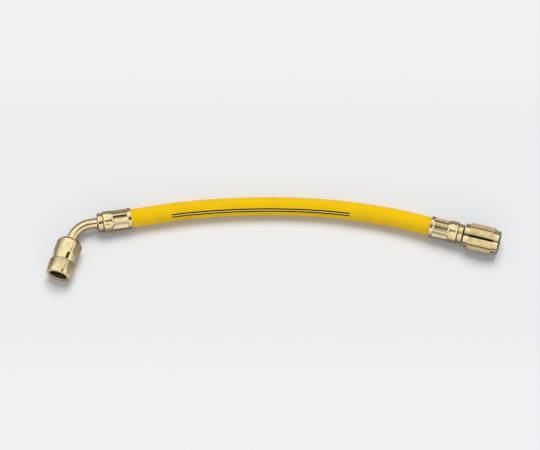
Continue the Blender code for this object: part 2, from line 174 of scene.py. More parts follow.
# Scratches run two ways, each with its turn and the scales of its cells
SCRATCHES = ((0.5, (900.0, 90.0, 900.0)), (2.1, (110.0, 1000.0, 1000.0)))

# Rubber: where its mottle starts and is full, its shades, and its roughness as spread and least
RUBBER_STEP = (0.35, 0.7)
DEEP_RUBBER = 0.93
RUBBER_ROUGHNESS = (0.14, 0.34)
GASKET_STEP = (0.4, 0.8)
PALE_RUBBER = 2.0
GASKET_ROUGHNESS = (0.2, 0.5)

# Print on the hose: how soft and wavy its lines are in turns, and how their ends fade
PRINT_SOFT = 0.0016
PRINT_WAVER = 0.002
PRINT_FADE = 0.0002

# Camera's sensor in millimetres, and the lamp
SENSOR_WIDTH = 36.0
KEY_COLOUR = (1.0, 0.99, 0.97)
KEY_PLACE = (0.07, 0.36, 0.82)

# Floor: painted shade makes it darker near the hose, so it turns paler away from it, and mirrored
# rays see it dark behind
FLOOR_DROP = -0.00003
HOSE_MIDDLE = 0.02
PALER_STEP = (0.06, 0.15)
MIRRORED_STEP = (-0.045, 0.0)
MIRRORED_FLOOR = (0.35, 0.32, 0.30)

# Patch that stands for the photographer's camera, clear at the first mark and dark at the last
PATCH_STEP = (1.45, 0.50)
PATCH_DARK = (0.04, 0.033, 0.028)

# Tent that the metal mirrors, with the marks between which each shade comes in
TENT_LOW = (1.06, 0.96, 0.94)
TENT_HIGH = (1.24, 1.23, 1.14)
TENT_SIDE = (0.58, 0.53, 0.49)
TENT_BACK = (0.24, 0.22, 0.20)
TENT_RISE = (0.20, 0.70)
SIDE_STEP = (0.60, 0.95)
SIDE_FALL = (0.45, 0.00)
BACK_STEP = (0.60, 0.85)
BACK_FALL = (0.76, 0.25)

# Fill light from behind and from the front, and what the camera sees past the floor
FILL_BACK = (0.34, 0.345, 0.36)
FILL_FRONT = (0.80, 0.815, 0.84)
FILL_STEP = (-0.25, -0.85)
BACKDROP = (0.85, 0.87, 0.88)


def size(name, description, default):
    """Length that can be changed in the sidebar."""
    return FloatProperty(
        name=name, description=description, default=default, min=0.0,
        subtype="DISTANCE", unit="LENGTH", precision=5,
    )


def turn(name, description, degrees):
    """Angle that can be changed in the sidebar."""
    return FloatProperty(
        name=name, description=description, default=math.radians(degrees),
        subtype="ANGLE", unit="ROTATION",
    )


def fraction(name, description, default):
    """Share from 0 to 1 that can be changed in the sidebar."""
    return FloatProperty(
        name=name, description=description, default=default, min=0.0, max=1.0,
        subtype="FACTOR",
    )


def colour(name, description, default):
    """Linear colour that can be changed in the sidebar."""
    return FloatVectorProperty(
        name=name, description=description, default=default, size=3, min=0.0, max=1.0,
        subtype="COLOR",
    )


class CONNECTIONHOSE_PG_hose(bpy.types.PropertyGroup):
    """Sizes and colours of the rubber hose."""

    radius: size("Radius", "Outer radius of the free hose", 0.00625)
    bore_radius: size("Bore Radius", "Inner radius", 0.0028)
    squeezed_radius: size("Squeezed Radius", "Outer radius inside a crimped sleeve", 0.0055)
    line_width: size("Line Width", "Width of each printed line", 0.00098)
    first_line: turn("First Line", "First printed line, down from the top", 41.0)
    second_line: turn("Second Line", "Second printed line, down from the top", 56.4)
    print_start: size("Print Start", "Start of the lines from the elbow end's lip", 0.0275)
    print_end: size("Print End", "End of the lines from the elbow end's lip", 0.1505)
    rubber: colour("Rubber", "Yellow of the hose", (0.92, 0.57, 0.002))
    ink: colour("Ink", "Dark brown of the printed lines", (0.006, 0.003, 0.002))
    band: colour("Band", "Pale stretch between the printed lines", (0.95, 0.72, 0.20))


class CONNECTIONHOSE_PG_sleeve(bpy.types.PropertyGroup):
    """Sizes of the two crimped sleeves, measured from the lip on the hose side."""

    lip_length: size("Lip Length", "Length of the plain ring at the lip", 0.0022)
    lip_radius: size("Lip Radius", "Outer radius of the lip", 0.00725)
    mouth_length: size("Mouth Length", "Straight stretch inside the lip", 0.0010)
    mouth_taper: size("Mouth Taper", "Taper from the mouth to the squeezed hose", 0.0022)
    crimp_length: size("Crimp Length", "Length of the crimped stretch", 0.0113)
    crimp_radius: size("Crimp Radius", "Outer radius over the ridges", 0.00705)
    shoulder_length: size("Shoulder Length", "Length of the round shoulder", 0.0058)
    shoulder_radius: size("Shoulder Radius", "Outer radius of the shoulder", 0.0073)
    shoulder_round: size("Shoulder Round", "Rounding at the end of the shoulder", 0.0009)
    end_wall: size("End Wall", "Thickness of the wall that grips the stem", 0.0023)
    jaws: IntProperty(name="Jaws", description="Number of crimped channels", default=8)
    jaw_radius: size("Jaw Radius", "Radius of the jaw that presses a channel", 0.0080)
    channel_depth: size("Channel Depth", "Depth of a crimped channel", 0.0007)
    channel_runout: size("Channel Run-out", "Length over which a channel ends", 0.0016)
    ridge_soft: size("Ridge Softness", "How widely a ridge's edge is rounded", 0.00014)
    petal_depth: size("Petal Depth", "Depth of the dips between the shoulder's petals", 0.00030)


class CONNECTIONHOSE_PG_stem(bpy.types.PropertyGroup):
    """Sizes of the barbed stems and of the seat heads at their ends."""

    bore_radius: size("Bore Radius", "Inner radius", 0.0015)
    tail_setback: size("Tail Setback", "Start of the barbs from the lip", 0.0015)
    barbs: IntProperty(name="Barbs", description="Number of barbs", default=4)
    barb_pitch: size("Barb Pitch", "Length of one barb", 0.0032)
    barb_root: size("Barb Root", "Radius between the barbs", 0.0019)
    barb_tip: size("Barb Tip", "Radius over the barbs", 0.0024)
    flange_radius: size("Flange Radius", "Flange behind the sleeve's wall", 0.0046)
    flange_length: size("Flange Length", "Thickness of the flange", 0.0008)
    groove_radius: size("Groove Radius", "Groove that the sleeve grips", 0.0040)
    collar_radius: size("Collar Radius", "Outer radius of the collar", 0.00645)
    collar_length: size("Collar Length", "Length of the collar", 0.0033)
    neck_radius: size("Neck Radius", "Neck inside the knurled nut", 0.0036)
    head_radius: size("Head Radius", "Outer radius of a seat head", 0.0046)
    head_length: size("Head Length", "Length of a seat head", 0.0045)
    nose_radius: size("Nose Radius", "Nose that holds the gasket", 0.0021)
    nose_length: size("Nose Length", "Length of the nose", 0.0011)
    gasket_thickness: size("Gasket Thickness", "Thickness of a gasket", 0.0016)
    nut_gap: size("Nut Gap", "Gap between the collar and the knurled nut", 0.0011)


class CONNECTIONHOSE_PG_tube(bpy.types.PropertyGroup):
    """Sizes of the bent tube of the elbow end."""

    radius: size("Radius", "Outer radius of the tube", 0.0035)
    bore_radius: size("Bore Radius", "Inner radius of the tube", 0.0019)
    bend_radius: size("Bend Radius", "Radius of the bend's centre line", 0.0160)
    socket_wall: size("Socket Wall", "Wall at the bottom of the collar's socket", 0.0006)
    in_head: size("In Head", "How far the tube reaches into the seat head", 0.0030)
    braze_reach: size("Braze Reach", "Size of the braze fillet round the tube", 0.00055)


class CONNECTIONHOSE_PG_hexagon(bpy.types.PropertyGroup):
    """Sizes of the hexagon nut, measured from its rear face."""

    sides: IntProperty(name="Sides", description="Number of flats", default=6)
    flats: size("Across Flats", "Distance across the flats", 0.0160)
    corner_radius: size("Corner Radius", "Radius over the corners", 0.0088)
    rear_radius: size("Rear Radius", "Radius of the rear face", 0.0064)
    rear_cone: size("Rear Cone", "Length of the rear cone", 0.0027)
    rear_band: size("Rear Band", "Length of the rear hexagon band", 0.0080)
    waist: size("Waist", "Length of the turned waist", 0.0061)
    waist_step: size("Waist Step", "Length of the step up from the waist", 0.0007)
    waist_radius: size("Waist Radius", "Smallest radius of the waist", 0.0074)
    waist_rear_radius: size("Waist Rear Radius", "Largest radius of the waist", 0.0083)
    front_band: size("Front Band", "Length of the front hexagon band", 0.0070)
    ring: size("Ring", "Length of the round ring at the mouth", 0.0032)
    ring_radius: size("Ring Radius", "Radius of the ring", 0.0085)
    rear_wall: size("Rear Wall", "Wall behind the seat head", 0.0055)
    edge: size("Edge", "Rounding of the nut's edges", 0.00018)
    # Painted shade: thin dark lines along the edges of the flats
    edge_shade: fraction("Edge Shade", "How soiled the edges of the flats are", 0.7)


class CONNECTIONHOSE_PG_knurled(bpy.types.PropertyGroup):
    """Sizes of the knurled nut, measured from its rear face."""

    rear_radius: size("Rear Radius", "Radius of the rear band", 0.0078)
    rear_length: size("Rear Length", "Length of the rear band", 0.0033)
    knurl_radius: size("Knurl Radius", "Radius over the knurl's points", 0.0093)
    knurl_length: size("Knurl Length", "Length of the knurled band", 0.0170)
    knurl_pitch: size("Knurl Pitch", "Distance between the knurl's points", 0.00132)
    knurl_height: size("Knurl Height", "Height of the knurl's points", 0.00034)
    # Painted shade between the knurl's points
    knurl_shade: fraction("Knurl Shade", "How dark the knurl is between its points", 0.15)
    front_radius: size("Front Radius", "Radius of the front band", 0.0077)
    front_length: size("Front Length", "Length of the front band", 0.0037)
    rear_wall: size("Rear Wall", "Wall behind the seat head", 0.0050)
    grooves: IntProperty(name="Grooves", description="Number of grooves", default=8)
    groove_floor: size("Groove Floor", "Radius at a groove's floor", 0.0071)
    groove_half: size("Groove Half Width", "Half of a groove's width", 0.0011)
    edge: size("Edge", "Rounding of the nut's edges", 0.00014)


class CONNECTIONHOSE_PG_mouth(bpy.types.PropertyGroup):
    """Sizes of the threaded insides of both nuts."""

    pocket_radius: size("Pocket Radius", "Pocket for the seat head", 0.0050)
    root_radius: size("Thread Root", "Radius at the thread's root", 0.0056)
    relief: size("Relief", "Slope from the pocket to the thread", 0.0010)
    mouth_radius: size("Mouth Radius", "Radius of the chamfered mouth", 0.0062)
    pitch: size("Pitch", "Pitch of the thread", 0.00127)
    depth: size("Depth", "Depth of the thread", 0.00056)


class CONNECTIONHOSE_PG_finish(bpy.types.PropertyGroup):
    """Colours of the metal and the gaskets."""

    bright: colour("Bright Brass", "Clean turned brass", (0.80, 0.68, 0.41))
    dull: colour("Dull Brass", "Brass that has been handled", (0.67, 0.54, 0.31))
    # Dark brown of the painted shade in bores, grooves, threads and along edges, and of a coat of
    # oil
    shade_and_oil: colour("Shade And Grime", "Brown film in bores, grooves and threads", (0.035, 0.020, 0.011))
    gasket: colour("Gasket", "Black rubber of the gaskets", (0.018, 0.018, 0.018))


class CONNECTIONHOSE_PG_studio(bpy.types.PropertyGroup):
    """Camera, floor and light."""

    elevation: turn("Elevation", "Camera's height above the horizon", 66.0)
    distance: size("Distance", "Camera's distance from its target", 3.0)
    view_width: size("View Width", "Width of what the camera sees", 0.3688)
    target_x: FloatProperty(
        name="Target X", description="Camera's target along X", default=-0.0031, unit="LENGTH",
    )
    target_y: FloatProperty(
        name="Target Y", description="Camera's target along Y", default=0.0175, unit="LENGTH",
    )
    floor_size: size("Floor Size", "Side of the floor", 4.0)
    # Painted shade: the floor is darker near the hose than far from it
    floor: colour("Floor", "Pale grey of the floor near the hose", (0.838, 0.851, 0.868))
    far_floor: colour("Far Floor", "Paler floor away from the hose", (0.866, 0.886, 0.896))
    patch_place: FloatVectorProperty(
        name="Patch Place", description="Where the metal sees the dark of the camera",
        default=(-0.020, -0.072, 0.26), size=3, subtype="XYZ", unit="LENGTH",
    )
    patch_turn: turn("Patch Turn", "Turn of the patch about Z", 56.0)
    patch_length: size("Patch Length", "From its middle to its soft end", 0.160)
    patch_width: size("Patch Width", "From its middle to its soft side", 0.090)
    key_strength: FloatProperty(
        name="Key Strength", description="Strength of the soft lamp", default=2.00,
    )
    key_spread: turn("Key Spread", "Apparent size of the soft lamp", 36.0)


GROUPS = {
    "hose": CONNECTIONHOSE_PG_hose,
    "sleeve": CONNECTIONHOSE_PG_sleeve,
    "stem": CONNECTIONHOSE_PG_stem,
    "tube": CONNECTIONHOSE_PG_tube,
    "hexagon": CONNECTIONHOSE_PG_hexagon,
    "knurled": CONNECTIONHOSE_PG_knurled,
    "mouth": CONNECTIONHOSE_PG_mouth,
    "finish": CONNECTIONHOSE_PG_finish,
    "studio": CONNECTIONHOSE_PG_studio,
}


def setting(name):
    """Current values of one group of sizes and colours."""
    return getattr(bpy.context.scene, "connection_hose_" + name)


def heading(azimuth, pitch):
    """Unit vector for an azimuth and a pitch in degrees."""
    a = math.radians(azimuth)
    p = math.radians(pitch)
    return Vector((math.cos(a) * math.cos(p), math.sin(a) * math.cos(p), math.sin(p)))


def axis_frame(origin, direction):
    """Frame with +Z along a direction and +Y as near to straight up as it can be."""
    z = Vector(direction).normalized()
    x = Vector((0.0, 0.0, 1.0)).cross(z).normalized()
    y = z.cross(x)
    place = Matrix((x, y, z)).transposed().to_4x4()
    place.translation = origin
    return place


def elbow_frame():
    """Frame of the elbow end's sleeve, from its lip."""
    return axis_frame(ELBOW_LIP, heading(ELBOW_AZIMUTH, ELBOW_PITCH))


def straight_frame():
    """Frame of the straight end's sleeve, from its lip."""
    return axis_frame(STRAIGHT_LIP, heading(STRAIGHT_AZIMUTH, STRAIGHT_PITCH))


def nut_frame(joint_name):
    """Frame of a nut from its rear face, where its joint is."""
    for joint in frame["joints"]:
        if joint["name"] == joint_name:
            return axis_frame(joint["pos_m"], joint["axis"])
    raise RuntimeError("no joint is named " + joint_name)


def sleeve_marks():
    """Distances from the lip that the stem and the hose share with the sleeve."""
    sleeve = setting("sleeve")
    stem = setting("stem")
    length = sleeve.lip_length + sleeve.crimp_length + sleeve.shoulder_length
    wall_start = length - sleeve.end_wall
    flange_start = wall_start - FIT_GAP - stem.flange_length
    collar_start = length + FIT_GAP
    return {
        "length": length,
        "wall_start": wall_start,
        "flange_start": flange_start,
        "hose_depth": flange_start - FIT_GAP,
        "collar_start": collar_start,
        "collar_end": collar_start + stem.collar_length,
    }


def around(radii, heights, angles, place):
    """Rings of points about a frame's Z axis, with angles turning from its +Y."""
    radii, heights, angles = np.broadcast_arrays(radii, heights, angles)
    local = np.stack((-radii * np.sin(angles), radii * np.cos(angles), heights), axis=-1)
    matrix = np.array(place)
    return local @ matrix[:3, :3].T + matrix[:3, 3]


def full_circle(count):
    """Evenly spaced angles."""
    return np.arange(count) * math.tau / count


def skin(name, rings, along, angles, shade_and_grime=0.0):
    """Closed mesh through rings of points, the last ring joined to the first.

    Its UV map has the turn about the axis as U and the distance along the outline as V, and
    its mask of painted shade says from 0 to 1 how dark a point in a bore, a groove or on an edge
    is painted.
    """
    rows, sides = rings.shape[:2]
    row, side = np.divmod(np.arange(rows * sides), sides)
    next_row = (row + 1) % rows
    next_side = (side + 1) % sides
    faces = np.stack(
        (
            row * sides + side,
            row * sides + next_side,
            next_row * sides + next_side,
            next_row * sides + side,
        ),
        axis=1,
    )
    mesh = bpy.data.meshes.new(name)
    mesh.from_pydata(rings.reshape(-1, 3).tolist(), [], faces.tolist())
    spread = np.append(angles, angles[0] + math.tau) / math.tau
    reach = np.append(along, along[-1])
    u = np.stack((spread[side], spread[side + 1], spread[side + 1], spread[side]), axis=1)
    v = np.stack((reach[row], reach[row], reach[row + 1], reach[row + 1]), axis=1)
    layer = mesh.uv_layers.new(name=UV_NAME)
    layer.data.foreach_set("uv", np.stack((u, v), axis=2).ravel().astype(np.float32))
    depths = np.broadcast_to(shade_and_grime, (rows, sides)).ravel().astype(np.float32)
    mesh.attributes.new(SHADE_AND_GRIME_NAME, "FLOAT", "POINT").data.foreach_set("value", depths)
    work = bmesh.new()
    work.from_mesh(mesh)
    bmesh.ops.remove_doubles(work, verts=work.verts, dist=MERGE)
    bmesh.ops.dissolve_degenerate(work, edges=work.edges, dist=MERGE)
    bmesh.ops.recalc_face_normals(work, faces=work.faces)
    work.to_mesh(mesh)
    work.free()
    return mesh


def travelled(points):
    """Distance along a list of points."""
    steps = np.linalg.norm(np.diff(points, axis=0), axis=1)
    return np.concatenate(((0.0,), np.cumsum(steps)))


def rounded(corners):
    """Closed outline with its corners rounded off, from (radius, height, rounding)."""
    outline = []
    for i, (radius, height, rounding) in enumerate(corners):
        here = Vector((radius, height))
        if rounding == 0.0:
            outline.append(tuple(here))
            continue
        before = Vector(corners[i - 1][:2]) - here
        after = Vector(corners[(i + 1) % len(corners)][:2]) - here
        half = 0.5 * before.angle(after)
        room = LARGEST_ROUNDING * min(before.length, after.length)
        reach = min(rounding / math.tan(half), room)
        towards = (before.normalized() + after.normalized()).normalized()
        centre = here + towards * (reach * math.tan(half) / math.sin(half))
        arm = here + before.normalized() * reach - centre
        sweep = math.pi - 2.0 * half
        if before.cross(after) > 0.0:
            sweep = -sweep
        steps = max(2, math.ceil(abs(sweep) / math.radians(ROUND_ANGLE)))
        for k in range(steps + 1):
            angle = sweep * k / steps
            x = arm.x * math.cos(angle) - arm.y * math.sin(angle)
            y = arm.x * math.sin(angle) + arm.y * math.cos(angle)
            outline.append((centre.x + x, centre.y + y))
    return outline


def refined(outline, longest):
    """The same outline with its long stretches cut into short ones."""
    points = []
    for here, there in zip(outline, outline[1:] + outline[:1]):
        span = math.dist(here, there)
        pieces = max(1, math.ceil(span / longest))
        for k in range(pieces):
            share = k / pieces
            points.append(
                (here[0] + share * (there[0] - here[0]), here[1] + share * (there[1] - here[1]))
            )
    return points


def settled(obj):
    """Plain mesh object in place of one with modifiers or of a curve."""
    depsgraph = bpy.context.evaluated_depsgraph_get()
    depsgraph.update()
    mesh = bpy.data.meshes.new_from_object(
        obj.evaluated_get(depsgraph), preserve_all_data_layers=True, depsgraph=depsgraph,
    )
    mesh.transform(obj.matrix_world)
    name = obj.name
    bpy.data.objects.remove(obj, do_unlink=True)
    mesh.name = name
    return new_object(name, mesh)


def new_object(name, data):
    """Add an object to the scene."""
    obj = bpy.data.objects.new(name, data)
    bpy.context.scene.collection.objects.link(obj)
    return obj


def shaded(mesh):
    """Give a mesh smooth faces, with its sharp edges kept."""
    mesh.shade_smooth()
    mesh.set_sharp_from_angle(angle=math.radians(SHARP_ANGLE))


def smoothed(obj, edge=0.0):
    """Round the sharp edges of an object if asked, and keep its flat faces flat."""
    if edge > 0.0:
        bevel = obj.modifiers.new("Edges", "BEVEL")
        bevel.width = edge
        bevel.segments = BEVEL_STEPS
        bevel.limit_method = "ANGLE"
        bevel.angle_limit = math.radians(BEVEL_ANGLE)
    obj.data.shade_smooth()
    obj.modifiers.new("Flat faces", "WEIGHTED_NORMAL").keep_sharp = True
    return settled(obj)


def turned(name, corners, place, filmed_radius=0.0):
    """Turned piece from the corners of its closed outline.

    Painted shade darkens what lies farther in than the shade radius.
    """
    outline = np.array(rounded(corners))
    angles = full_circle(ROUND_SIDES)
    rings = around(outline[:, :1], outline[:, 1:], angles, place)
    shade_and_grime = np.where(outline[:, :1] < filmed_radius, 1.0, 0.0)
    mesh = skin(name, rings, travelled(outline), angles, shade_and_grime)
    return smoothed(new_object(name, mesh))


def milled(name, corners, limits, angles, place, edge, shade_and_grime):
    """Turned piece whose outer side is cut down to a limiting radius at each angle.

    A corner is (radius, height, way), where the way says what it does above the limit.
    """
    columns = []
    for limit in limits:
        column = []
        for i, (radius, height, way) in enumerate(corners):
            if way != STAY and radius > limit:
                if way != SINK:
                    near = corners[i - 1] if way == SLIDE_BACK else corners[i + 1]
                    share = (limit - near[0]) / (radius - near[0])
                    height = near[1] + share * (height - near[1])
                radius = limit
            column.append((radius, height))
        columns.append(column)
    grid = np.array(columns)
    rings = around(grid[:, :, 0].T, grid[:, :, 1].T, angles, place)
    outline = np.array([corner[:2] for corner in corners])
    mesh = skin(name, rings, travelled(outline), angles, shade_and_grime)
    return smoothed(new_object(name, mesh), edge)


def dress(obj, material, slot_name, body, *nodes):
    """Give a finished piece its material and its body, and hide the solids that it stands for."""
    obj.data.materials.clear()
    obj.data.materials.append(material)
    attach(obj, body)
    if nodes:
        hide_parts(*nodes)
    return obj


def feed(tree, node, inputs):
    """Set or link inputs of a node by name or number."""
    for key, value in inputs.items():
        if isinstance(value, bpy.types.NodeSocket):
            tree.links.new(value, node.inputs[key])
        else:
            node.inputs[key].default_value = value


def add_node(tree, kind, inputs=None, **options):
    """Add a node with its options and its inputs."""
    node = tree.nodes.new(kind)
    for name, value in options.items():
        setattr(node, name, value)
    feed(tree, node, inputs or {})
    return node


def calculate(tree, operation, *values):
    """Result of a math node."""
    inputs = dict(enumerate(values))
    return add_node(tree, "ShaderNodeMath", inputs, operation=operation).outputs[0]


def stepped(tree, value, low, high):
    """Smooth step of a value from 0 at a low mark to 1 at a high one."""
    inputs = {"Value": value, "From Min": low, "From Max": high}
    node = add_node(tree, "ShaderNodeMapRange", inputs, interpolation_type="SMOOTHSTEP")
    return node.outputs["Result"]


def parts(tree, vector):
    """X, Y and Z of a vector."""
    return add_node(tree, "ShaderNodeSeparateXYZ", {"Vector": vector}).outputs


def joined(tree, x=0.0, y=0.0, z=0.0):
    """Vector from its X, Y and Z."""
    return add_node(tree, "ShaderNodeCombineXYZ", {0: x, 1: y, 2: z}).outputs[0]


def bumped(tree, height, strength, distance):
    """Normal of a surface that a height lifts."""
    inputs = {"Strength": strength, "Distance": distance, "Height": height}
    return add_node(tree, "ShaderNodeBump", inputs).outputs["Normal"]


def mixed(tree, factor, first, second):
    """Mix of two colours."""
    inputs = {MIX_FACTOR: factor, MIX_FIRST: opaque(first), MIX_SECOND: opaque(second)}
    return add_node(tree, "ShaderNodeMix", inputs, data_type="RGBA").outputs[MIX_RESULT]


def opaque(value):
    """Colour with its alpha, or the socket that gives one."""
    if isinstance(value, bpy.types.NodeSocket):
        return value
    return (*value, 1.0)


def new_group(name, kind, inputs, outputs):
    """Node group with named sockets, from each input's type or the default that shows it."""
    tree = bpy.data.node_groups.new(name, kind)
    for label, value in inputs.items():
        typed = isinstance(value, str)
        socket_type = value if typed else NUMBER_SOCKETS[type(value)]
        socket = tree.interface.new_socket(label, in_out="INPUT", socket_type=socket_type)
        if not typed:
            socket.default_value = value
    for label, socket_type in outputs.items():
        tree.interface.new_socket(label, in_out="OUTPUT", socket_type=socket_type)
    given = tree.nodes.new("NodeGroupInput").outputs
    made = tree.nodes.new("NodeGroupOutput").inputs
    return tree, given, made


def use_group(tree, name, build, inputs):
    """Outputs of a shared shader group, placed in a tree with the inputs given."""
    node = tree.nodes.new("ShaderNodeGroup")
    node.node_tree = shared_group(name, build)
    feed(tree, node, inputs)
    return node.outputs


def new_geometry_group(name, sizes):
    """Geometry group that takes a geometry, sizes and a material, and gives a geometry."""
    inputs = {"Geometry": GEOMETRY, **sizes, "Material": MATERIAL}
    return new_group(name, "GeometryNodeTree", inputs, {"Geometry": GEOMETRY})


def shared_group(name, build):
    """Node group by its name, built the first time that it is asked for."""
    return bpy.data.node_groups.get(name) or build(name)


def noise(tree, vector, scale, detail):
    """Value of a noise texture."""
    inputs = {"Vector": vector, "Scale": scale, "Detail": detail}
    return add_node(tree, "ShaderNodeTexNoise", inputs).outputs["Fac"]


def build_grain(name):
    """Uneven surface at two scales: a slow mottle and a fine grain."""
    tree, given, made = new_group(
        name, "ShaderNodeTree",
        {"Vector": VECTOR, "Mottle Scale": 200.0, "Grain Scale": 3000.0},
        {"Mottle": VALUE, "Grain": VALUE},
    )
    for label, detail in (("Mottle", 3.0), ("Grain", 2.0)):
        uneven = noise(tree, given["Vector"], given[label + " Scale"], detail)
        tree.links.new(uneven, made[label])
    return tree


def build_turning(name):
    """Fine rings that a cutting tool leaves, as a height along the outline."""
    tree, given, made = new_group(
        name, "ShaderNodeTree", {"UV": VECTOR, "Rings Per Metre": 6000.0}, {"Height": VALUE},
    )
    along = calculate(tree, "MULTIPLY", parts(tree, given["UV"])["Y"], given["Rings Per Metre"])
    heights = []
    for scale in (1.0, BROAD_RINGS):
        inputs = {"W": along, "Scale": scale, "Detail": 1.0}
        rings = add_node(tree, "ShaderNodeTexNoise", inputs, noise_dimensions="1D")
        heights.append(rings.outputs["Fac"])
    tree.links.new(calculate(tree, "ADD", *heights), made["Height"])
    return tree


def build_handling(name):
    """Short scratches that cross each other, as a mask."""
    tree, given, made = new_group(
        name, "ShaderNodeTree", {"Vector": VECTOR, "Width": 0.05}, {"Scratch": VALUE},
    )
    marks = []
    for angle, scale in SCRATCHES:
        way = (SCRATCH_LEAN, SCRATCH_TIP * angle, angle)
        inputs = {"Vector": given["Vector"], "Rotation": way, "Scale": scale}
        aimed = add_node(tree, "ShaderNodeMapping", inputs)
        cells = add_node(
            tree, "ShaderNodeTexVoronoi", {"Vector": aimed.outputs[0], "Scale": 1.0},
            feature="DISTANCE_TO_EDGE",
        )
        marks.append(calculate(tree, "LESS_THAN", cells.outputs["Distance"], given["Width"]))
    tree.links.new(calculate(tree, "MAXIMUM", *marks), made["Scratch"])
    return tree


def new_material(name):
    """Material with its tree, its Principled shader and the shader's object coordinates."""
    material = bpy.data.materials.new(name)
    material.use_nodes = True
    tree = material.node_tree
    shader = tree.nodes["Principled BSDF"]
    place = tree.nodes.new("ShaderNodeTexCoord").outputs["Object"]
    return material, tree, shader, place


def surface_map(tree):
    """UV map of turned pieces and the hose: turn about the axis, then distance along."""
    return add_node(tree, "ShaderNodeUVMap", uv_map=UV_NAME).outputs["UV"]


def mottle_and_grain(tree, place, mottle_scale, grain_scale):
    """Uneven surface at a material's own two scales."""
    inputs = {"Vector": place, "Mottle Scale": mottle_scale, "Grain Scale": grain_scale}
    return use_group(tree, "Mottle and grain", build_grain, inputs)


def shared_material(name, build, **values):
    """Material by its name, built the first time that it is asked for."""
    return bpy.data.materials.get(name) or build(name, **values)


def build_brass(name, roughness, ring_depth=0.0, film=0.0):
    """Pale brass: slow patina, painted shade with a brown coat of oil, light scratches, tool
    rings.
    """
    finish = setting("finish")
    material, tree, shader, place = new_material(name)
    grain = mottle_and_grain(tree, place, mottle_scale=260.0, grain_scale=5200.0)
    rings = use_group(
        tree, "Tool rings", build_turning, {"UV": surface_map(tree), "Rings Per Metre": 9000.0},
    )
    marks = use_group(
        tree, "Handling marks", build_handling, {"Vector": place, "Width": SCRATCH_WIDTH},
    )
    patina = stepped(tree, grain["Mottle"], *PATINA_STEP)
    clean = mixed(tree, patina, finish.bright, finish.dull)
    # Mask of painted shade, with a coat of oil, in bores, grooves, threads and along edges
    deep = add_node(tree, "ShaderNodeAttribute", attribute_name=SHADE_AND_GRIME_NAME).outputs["Fac"]
    shaded_and_soiled = calculate(tree, "ADD", deep, film)
    dulled = calculate(tree, "MULTIPLY_ADD", patina, PATINA_DULLING, roughness)
    dulled = calculate(tree, "MULTIPLY_ADD", shaded_and_soiled, FILM_DULLING, dulled)
    dulled = calculate(tree, "MULTIPLY_ADD", marks["Scratch"], SCRATCH_DULLING, dulled)
    ringed = calculate(tree, "MULTIPLY", rings["Height"], ring_depth)
    height = calculate(tree, "MULTIPLY_ADD", grain["Grain"], BRASS_GRAIN, ringed)
    finishes = {
        "Base Color": mixed(tree, shaded_and_soiled, clean, finish.shade_and_oil),
        "Metallic": 1.0,
        "Roughness": dulled,
        "Normal": bumped(tree, height, strength=0.3, distance=0.00001),
    }
    feed(tree, shader, finishes)
    return material


def turned_brass():
    """Brass with the rings of a turning tool."""
    return shared_material("turned_brass", build_brass, roughness=0.10, ring_depth=1.0)


def drawn_brass():
    """Smooth drawn brass of the tube."""
    return shared_material("drawn_brass", build_brass, roughness=0.08)


def knurled_brass():
    """Rolled brass of the knurl."""
    return shared_material("knurled_brass", build_brass, roughness=0.22)


def threaded_brass():
    """Brass of the threads, darkened by a coat of oil and by painted shade."""
    return shared_material("threaded_brass", build_brass, roughness=0.16, film=0.5)


def stripe(tree, across, middle, half):
    """Mask of a stripe along the hose, with its middle and half its width in turns."""
    away = calculate(tree, "ABSOLUTE", calculate(tree, "SUBTRACT", across, middle))
    return stepped(tree, away, half + PRINT_SOFT, half - PRINT_SOFT)


def build_hose_rubber(name):
    """Yellow rubber with two printed lines and a pale band between them."""
    hose = setting("hose")
    material, tree, shader, place = new_material(name)
    grain = mottle_and_grain(tree, place, mottle_scale=110.0, grain_scale=2600.0)
    surface = parts(tree, surface_map(tree))
    waver = calculate(tree, "MULTIPLY_ADD", grain["Mottle"], PRINT_WAVER, -0.5 * PRINT_WAVER)
    across = calculate(tree, "ADD", surface["X"], waver)
    first = hose.first_line / math.tau
    second = hose.second_line / math.tau
    half = 0.5 * hose.line_width / (math.tau * hose.radius)
    lines = [stripe(tree, across, middle, half) for middle in (first, second)]
    between = stripe(tree, across, 0.5 * (first + second), 0.5 * (second - first))
    start = hose.print_start
    end = hose.print_end
    started = stepped(tree, surface["Y"], start - PRINT_FADE, start + PRINT_FADE)
    ended = stepped(tree, surface["Y"], end + PRINT_FADE, end - PRINT_FADE)
    printed = calculate(tree, "MULTIPLY", started, ended)
    deep = [DEEP_RUBBER * channel for channel in hose.rubber]
    base = mixed(tree, stepped(tree, grain["Mottle"], *RUBBER_STEP), hose.rubber, deep)
    base = mixed(tree, calculate(tree, "MULTIPLY", between, printed), base, hose.band)
    inked = calculate(tree, "MULTIPLY", calculate(tree, "MAXIMUM", *lines), printed)
    finishes = {
        "Base Color": mixed(tree, inked, base, hose.ink),
        "Roughness": calculate(tree, "MULTIPLY_ADD", grain["Mottle"], *RUBBER_ROUGHNESS),
        "Specular IOR Level": 0.15,
        "Normal": bumped(tree, grain["Grain"], strength=0.35, distance=0.00004),
    }
    feed(tree, shader, finishes)
    return material


def hose_rubber():
    """Rubber of the hose."""
    return shared_material("hose_rubber", build_hose_rubber)


def build_gasket_rubber(name):
    """Matt black rubber."""
    black = setting("finish").gasket
    material, tree, shader, place = new_material(name)
    grain = mottle_and_grain(tree, place, mottle_scale=500.0, grain_scale=6000.0)
    pale = [PALE_RUBBER * channel for channel in black]
    finishes = {
        "Base Color": mixed(tree, stepped(tree, grain["Mottle"], *GASKET_STEP), black, pale),
        "Roughness": calculate(tree, "MULTIPLY_ADD", grain["Mottle"], *GASKET_ROUGHNESS),
        "Normal": bumped(tree, grain["Grain"], strength=0.4, distance=0.00003),
    }
    feed(tree, shader, finishes)
    return material


def gasket_rubber():
    """Rubber of both gaskets."""
    return shared_material("gasket_rubber", build_gasket_rubber)


